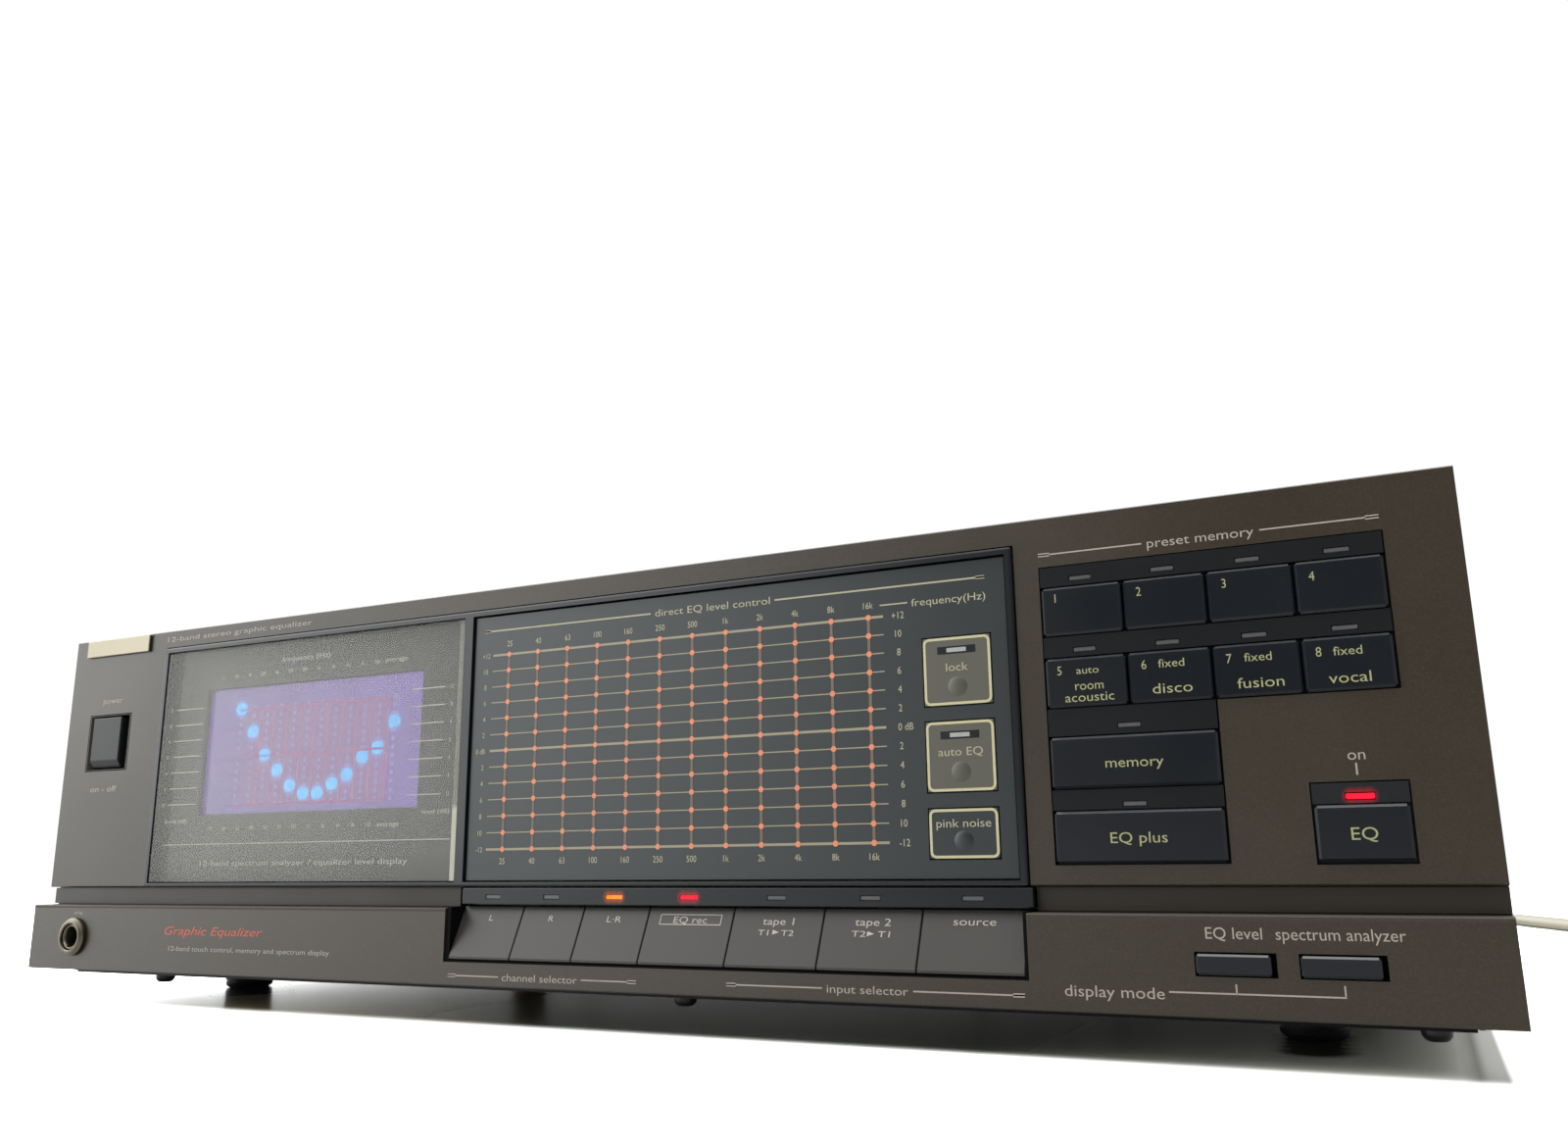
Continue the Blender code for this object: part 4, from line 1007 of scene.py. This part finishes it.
RELIEF_TIP = 297.0
CORD_EXIT = (372.0, RELIEF_TIP + 0.3, -14.0)
ROUTE_OUT = (
    CORD_EXIT, (372.0, 309.0, -14.7), (372.5, 321.0, -17.6), (373.5, 335.0, -23.0), (375.0, 351.0, -28.6),
    (377.5, 370.0, -31.9), (381.0, 392.0, CORD_Z), (386.0, 418.0, CORD_Z), (392.0, 446.0, CORD_Z),
    (399.0, 474.0, CORD_Z), (405.5, 502.0, CORD_Z), (409.7, 523.0, CORD_Z),
)
LOOP_CENTRE = (437.0, 541.0)
LOOP_R = 26.0
LOOP_ANGLES = (178.0, 150.0, 120.0, 90.0, 60.0, 35.0)
ROUTE_BACK = ((464.6, 539.5, CORD_Z), (470.2, 525.0, CORD_Z), (475.0, 512.3, CORD_Z))
COIL_ENTRY = Vector((488.5, 476.0, 0))
COIL_HEADING = Vector((0.349, -0.937, 0))
COIL_MEAN_R = 4.7 * CORD_D
COIL_SLOTS = ((1, 0), (-1, 0), (-1, 1), (1, 1), (1, 2), (-1, 2), (-1, 3), (1, 3))
COIL_TURNS = 7.5
CROSSING = 64.0
CROSSING_STEP = 20.0
CLEAR_OF_COIL = 20.8
TAIL_REACH = 48.0
PLUG_AXIS_Z = TABLE_Z + 8.8


def smooth_route(points, spacing):
    """Points about that far apart along a smooth curve through the route's own points."""
    route = [Vector(p) for p in points]
    ends = [2 * route[0] - route[1]] + route + [2 * route[-1] - route[-2]]
    fine = []
    for a, b, c, d in zip(ends, ends[1:], ends[2:], ends[3:]):
        steps = max(2, round((c - b).length / spacing))
        for step in range(steps):
            t = step / steps
            fine.append(0.5 * (2 * b + (c - a) * t + (2 * a - 5 * b + 4 * c - d) * t ** 2
                               + (3 * b - a - 3 * c + d) * t ** 3))
    return fine + [route[-1]]


def coil_points(centre, start):
    """Turns wound two wide and four high, each crossing to its next slot near its end."""
    points = []
    for degree in range(0, round(360 * COIL_TURNS) + 1, 10):
        side, level = COIL_SLOTS[0]
        for turn in range(1, len(COIL_SLOTS)):
            begin = 360.0 * turn - CROSSING - CROSSING_STEP * (turn - 1)
            t = min(max((degree - begin) / CROSSING, 0.0), 1.0)
            ease = t * t * (3 - 2 * t)
            side += (COIL_SLOTS[turn][0] - COIL_SLOTS[turn - 1][0]) * ease
            level += (COIL_SLOTS[turn][1] - COIL_SLOTS[turn - 1][1]) * ease
        radius = COIL_MEAN_R + side * CORD_R
        angle = start + math.radians(degree)
        points.append(Vector((centre.x + radius * math.cos(angle), centre.y + radius * math.sin(angle),
                              CORD_Z + level * CORD_D)))
    return points


def cord_route():
    """The whole centreline, from the strain relief over the table into the coil and out to the plug."""
    turns = [math.radians(a) for a in LOOP_ANGLES]
    loop = [(LOOP_CENTRE[0] + LOOP_R * math.cos(t), LOOP_CENTRE[1] + LOOP_R * math.sin(t), CORD_Z)
            for t in turns]
    entry = Vector((COIL_ENTRY.x, COIL_ENTRY.y, CORD_Z))
    outer = COIL_MEAN_R + CORD_R
    centre = Vector((entry.x - COIL_HEADING.y * outer, entry.y + COIL_HEADING.x * outer, 0))
    start = math.atan2(entry.y - centre.y, entry.x - centre.x)
    coil = coil_points(centre, start)
    before = entry - COIL_HEADING * CLEAR_OF_COIL
    approach = smooth_route([*ROUTE_OUT, *loop, *ROUTE_BACK, before, entry], CORD_D)
    leave = coil[-1]
    fall = leave.z - PLUG_AXIS_Z
    tail = []
    for step in range(1, 13):
        reached = TAIL_REACH * step / 12
        ease = (step / 12) ** 2 * (3 - 2 * step / 12)
        tail.append(leave - COIL_HEADING * reached - Vector((0, 0, fall * ease)))
    return approach[:-1] + coil + tail


def make_cord():
    route = cord_route()
    data = bpy.data.curves.new("mains_cord_run", "CURVE")
    data.dimensions = "3D"
    data.bevel_depth = CORD_R * MM
    data.bevel_resolution = 6
    data.use_fill_caps = True
    spline = data.splines.new("POLY")
    spline.points.add(len(route) - 1)
    for spot, point in zip(spline.points, route):
        spot.co = (*place(*point), 1.0)
    spline.use_smooth = True
    data.materials.append(FINISHES["cord_pvc"].material)
    cord = linked("mains_cord_run", data)
    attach(cord, CASE)
    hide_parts("mains_cord", "cord_coil", "cord_tail")
    make_relief()
    make_plug(route)


def make_relief():
    """A ribbed, tapered boot that grips the rear panel."""
    low, high = reach("strain_relief")
    at = (CORD_EXIT[0], low.y, CORD_EXIT[2])
    bore, tip = CORD_D / 2 + 0.03, CORD_D / 2 + 0.75
    grip = [(bore, 0), (6.4, 0), (6.4, 2.4), (5.0, 2.6), (5.0, 4.3), (7.0, 4.3), (7.0, 6.6), (6.3, 7.6)]
    ribs = []
    first, last = 9.0, high.y - low.y
    count = 7
    pitch = (last - first) / count
    for i in range(count):
        share = i / count
        radius = 5.5 - 1.0 * share
        start = first + pitch * i
        ribs += [(radius, start), (radius, start + 0.55 * pitch), (radius - 0.85, start + 0.68 * pitch),
                 (radius - 0.95, start + 0.95 * pitch)]
    outline = grip + ribs + [(tip, last), (bore, last)]
    return turned("strain_relief_boot", outline, at, (0, 1, 0), 48, FINISHES["cord_pvc"],
                  replaces="strain_relief")


def make_plug(route):
    """The plug's soft moulded body, which keeps its CAD place, and its plated blades."""
    away = (route[-1] - route[-3])
    away.z = 0
    away.normalize()
    side = Vector((-away.y, away.x, 0))
    tip = route[-1]
    turn = Matrix((side, away, Vector((0, 0, 1)))).transposed().to_4x4()
    matrix = Matrix.Translation(place(*tip)) @ turn @ Matrix.Scale(MM, 4)
    sections = ((0.35, 3.6, 3.6, 3.3), (4.0, 4.3, 4.2, 3.6), (9.0, 8.2, 6.6, 3.2), (12.5, 11.4, 7.9, 3.0),
                (17.0, 12.3, 8.4, 3.0), (32.5, 12.3, 8.4, 3.0), (33.7, 11.7, 7.8, 2.8),
                (34.0, 10.6, 6.8, 2.4))
    bm = bmesh.new()
    rings = []
    for along, half_x, half_z, corner in sections:
        ring = rounded_rectangle((-half_x, half_x), (-half_z, half_z), corner)
        rings.append([bm.verts.new(matrix @ Vector((u, along, w))) for u, w in ring])
    for near, far in zip(rings, rings[1:]):
        bridge(bm, near, far)
    bm.faces.new(rings[0])
    bm.faces.new(reversed(rings[-1]))
    body = make_piece("plug_body", bm, FINISHES["cord_pvc"], CASE, 35, "plug")
    blades = bmesh.new()
    for x in (-6.35, 6.35):
        outline = [(-3.15, 33.0), (3.15, 33.0), (3.15, 49.6), (2.2, 51.0), (-2.2, 51.0), (-3.15, 49.6)]
        sides = [[blades.verts.new(matrix @ Vector((x + dx, along, w))) for w, along in outline]
                 for dx in (-0.75, 0.75)]
        blades.faces.new(sides[0])
        blades.faces.new(reversed(sides[1]))
        bridge(blades, sides[1], sides[0])
    return body, make_piece("plug_blades", blades, FINISHES["nickel"])


# ---- camera, light and floor

BACKDROP = (0.985, 1.0, 0.99, 1.0)
BACKDROP_LEVEL = 1.05


def make_camera():
    data = bpy.data.cameras.new("camera")
    data.lens = 28.745
    data.sensor_width = 36.0
    data.clip_start = 0.01
    camera = linked("camera", data)
    camera.location = (0.200664, -0.413690, 0.042026)
    camera.rotation_euler = [math.radians(a) for a in (102.7717, 0.6757, 26.4229)]
    bpy.context.scene.camera = camera


def make_world():
    """A white studio: bright to the left, above and behind, dimmer in front; the backdrop itself is white."""
    world = bpy.data.worlds.new("studio")
    bpy.context.scene.world = world
    world.use_nodes = True
    made = Nodes(world.node_tree)
    axes = made.axes(made.node("TexCoord").outputs["Generated"])
    light = 0.07
    for axis, begin, end, amount in (("X", -0.20, -0.72, 4.2), ("X", 0.2, 0.9, 0.6), ("Y", -0.1, 0.6, 0.7),
                                     ("Z", 0.30, 0.90, 1.6)):
        light = made.math("ADD", made.ranged(axes[axis], begin, end, 0.0, amount, smooth=True), light)
    choose = made.node("Mix", data_type="FLOAT")
    by_camera = made.node("LightPath").outputs["Is Camera Ray"]
    for socket, source in ((0, by_camera), (2, light), (3, BACKDROP_LEVEL)):
        made.feed(choose.inputs[socket], source)
    background = world.node_tree.nodes["Background"]
    background.inputs["Color"].default_value = BACKDROP
    made.feed(background.inputs["Strength"], choose.outputs[0])


def make_light():
    """A broad soft box overhead."""
    data = bpy.data.lights.new("overhead", "AREA")
    data.size = 0.8
    data.energy = 15.0
    linked("overhead", data).location = (0.1, -0.25, 1.3)


SEEN_FROM = Vector((415.7, -280.1, 0))
# Painted light on the table, seen by camera rays only: shade under the unit with the underside's dark
# reflection in it, and foot shadows and reflections.
PAINTED_SHADE_X = ((22.0, 58.0), (427.0, 425.5))
PAINTED_SHADE_Y = ((-10.0, 3.0), (260.0, 200.0))
PAINTED_SHADE_LEFT = (0.29, 0.255, 0.19)
PAINTED_SHADES_UNDER = (
    (58.0, 80.0, (0.25, 0.21, 0.14)), (80.0, 125.0, (0.25, 0.2, 0.12)), (150.0, 205.0, (0.06, 0.06, 0.045)),
    (325.0, 410.0, (0.85, 0.85, 0.77)), (418.0, 421.0, (0.30, 0.30, 0.27)),
)
LIT_TOP = (1.6, 1.64, 1.56)
PAINTED_FOOT_SHADOW = (0.035, 0.035, 0.032)
PAINTED_FOOT_SHADOW_SPOTS = (
    ("foot_front_left", 20.0, 16.0), ("foot_front_right", 24.0, 10.5), ("foot_rear_left", 30.0, 14.0),
)


def shaded_top(made):
    """The table's colour as the camera sees it: white, with painted shade under the unit that changes from
    left to right, and painted shadow and reflection of the feet, darkest ahead of them.
    """
    axes = made.axes(made.spot)
    edges = [("X", place(a, 0, 0).x, place(b, 0, 0).x) for a, b in PAINTED_SHADE_X]
    edges += [("Y", place(0, a, 0).y, place(0, b, 0).y) for a, b in PAINTED_SHADE_Y]
    under = made.product(*(made.ranged(axes[axis], a, b, smooth=True) for axis, a, b in edges))
    shade = PAINTED_SHADE_LEFT
    for begin, end, colour in PAINTED_SHADES_UNDER:
        share = made.ranged(axes["X"], place(begin, 0, 0).x, place(end, 0, 0).x)
        shade = made.mixed(share, shade, colour)
    seen = made.mixed(under, LIT_TOP, shade)
    # Painted shadow and reflection of each foot, stretched towards the camera.
    for foot, long, wide in PAINTED_FOOT_SHADOW_SPOTS:
        at = middle(foot)
        at.z = 0
        ahead = (SEEN_FROM - at).normalized() * long / 4
        spots = [(*(at + ahead * step).xy, TABLE_Z) for step in range(5)]
        seen = made.mixed(made.near(spots, wide - 6.0, wide), seen, PAINTED_FOOT_SHADOW)
    return seen


def make_floor():
    """A pale satin table top that fades into the backdrop; to the camera it is brighter and carries painted
    shade under the unit and painted foot shadows.
    """
    made = Finish("table_top", (0.45, 0.45, 0.44), 0.26, Specular_IOR_Level=0.2)
    made.gloss(made.noise(120.0, 2.0), 0.01)
    by_camera = made.node("LightPath").outputs["Is Camera Ray"]
    made.sets(Base_Color=made.mixed(by_camera, made.colour, shaded_top(made)))
    away = made.node("VectorMath", operation="LENGTH")
    made.feed(away.inputs[0], made.spot)
    emission = made.node("Emission")
    emission.inputs["Color"].default_value = BACKDROP
    emission.inputs["Strength"].default_value = BACKDROP_LEVEL
    blend = made.node("MixShader")
    fade = made.ranged(away.outputs["Value"], 0.75, 1.5, smooth=True)
    for socket, source in zip(blend.inputs, (fade, made.shader.outputs[0], emission.outputs[0])):
        made.feed(socket, source)
    made.feed(made.tree.nodes["Material Output"].inputs["Surface"], blend.outputs[0])
    bm = bmesh.new()
    bmesh.ops.create_circle(bm, cap_ends=True, radius=6.0, segments=96)
    linked("table_top", mesh_of("table_top", bm, made))


# ---- the scene

bpy.context.scene.view_settings.view_transform = "Standard"

make_camera()
make_world()
make_light()
make_floor()
dress_nodes()
make_cord()
print_fascias()
print_preset_keys()
print_selector_keys()
print_touch_panel()
print_touch_keys()
make_display()
print_window()
make_lamps()
make_screws()
make_feet()
make_mic_jack()
make_sockets()
print_rear()
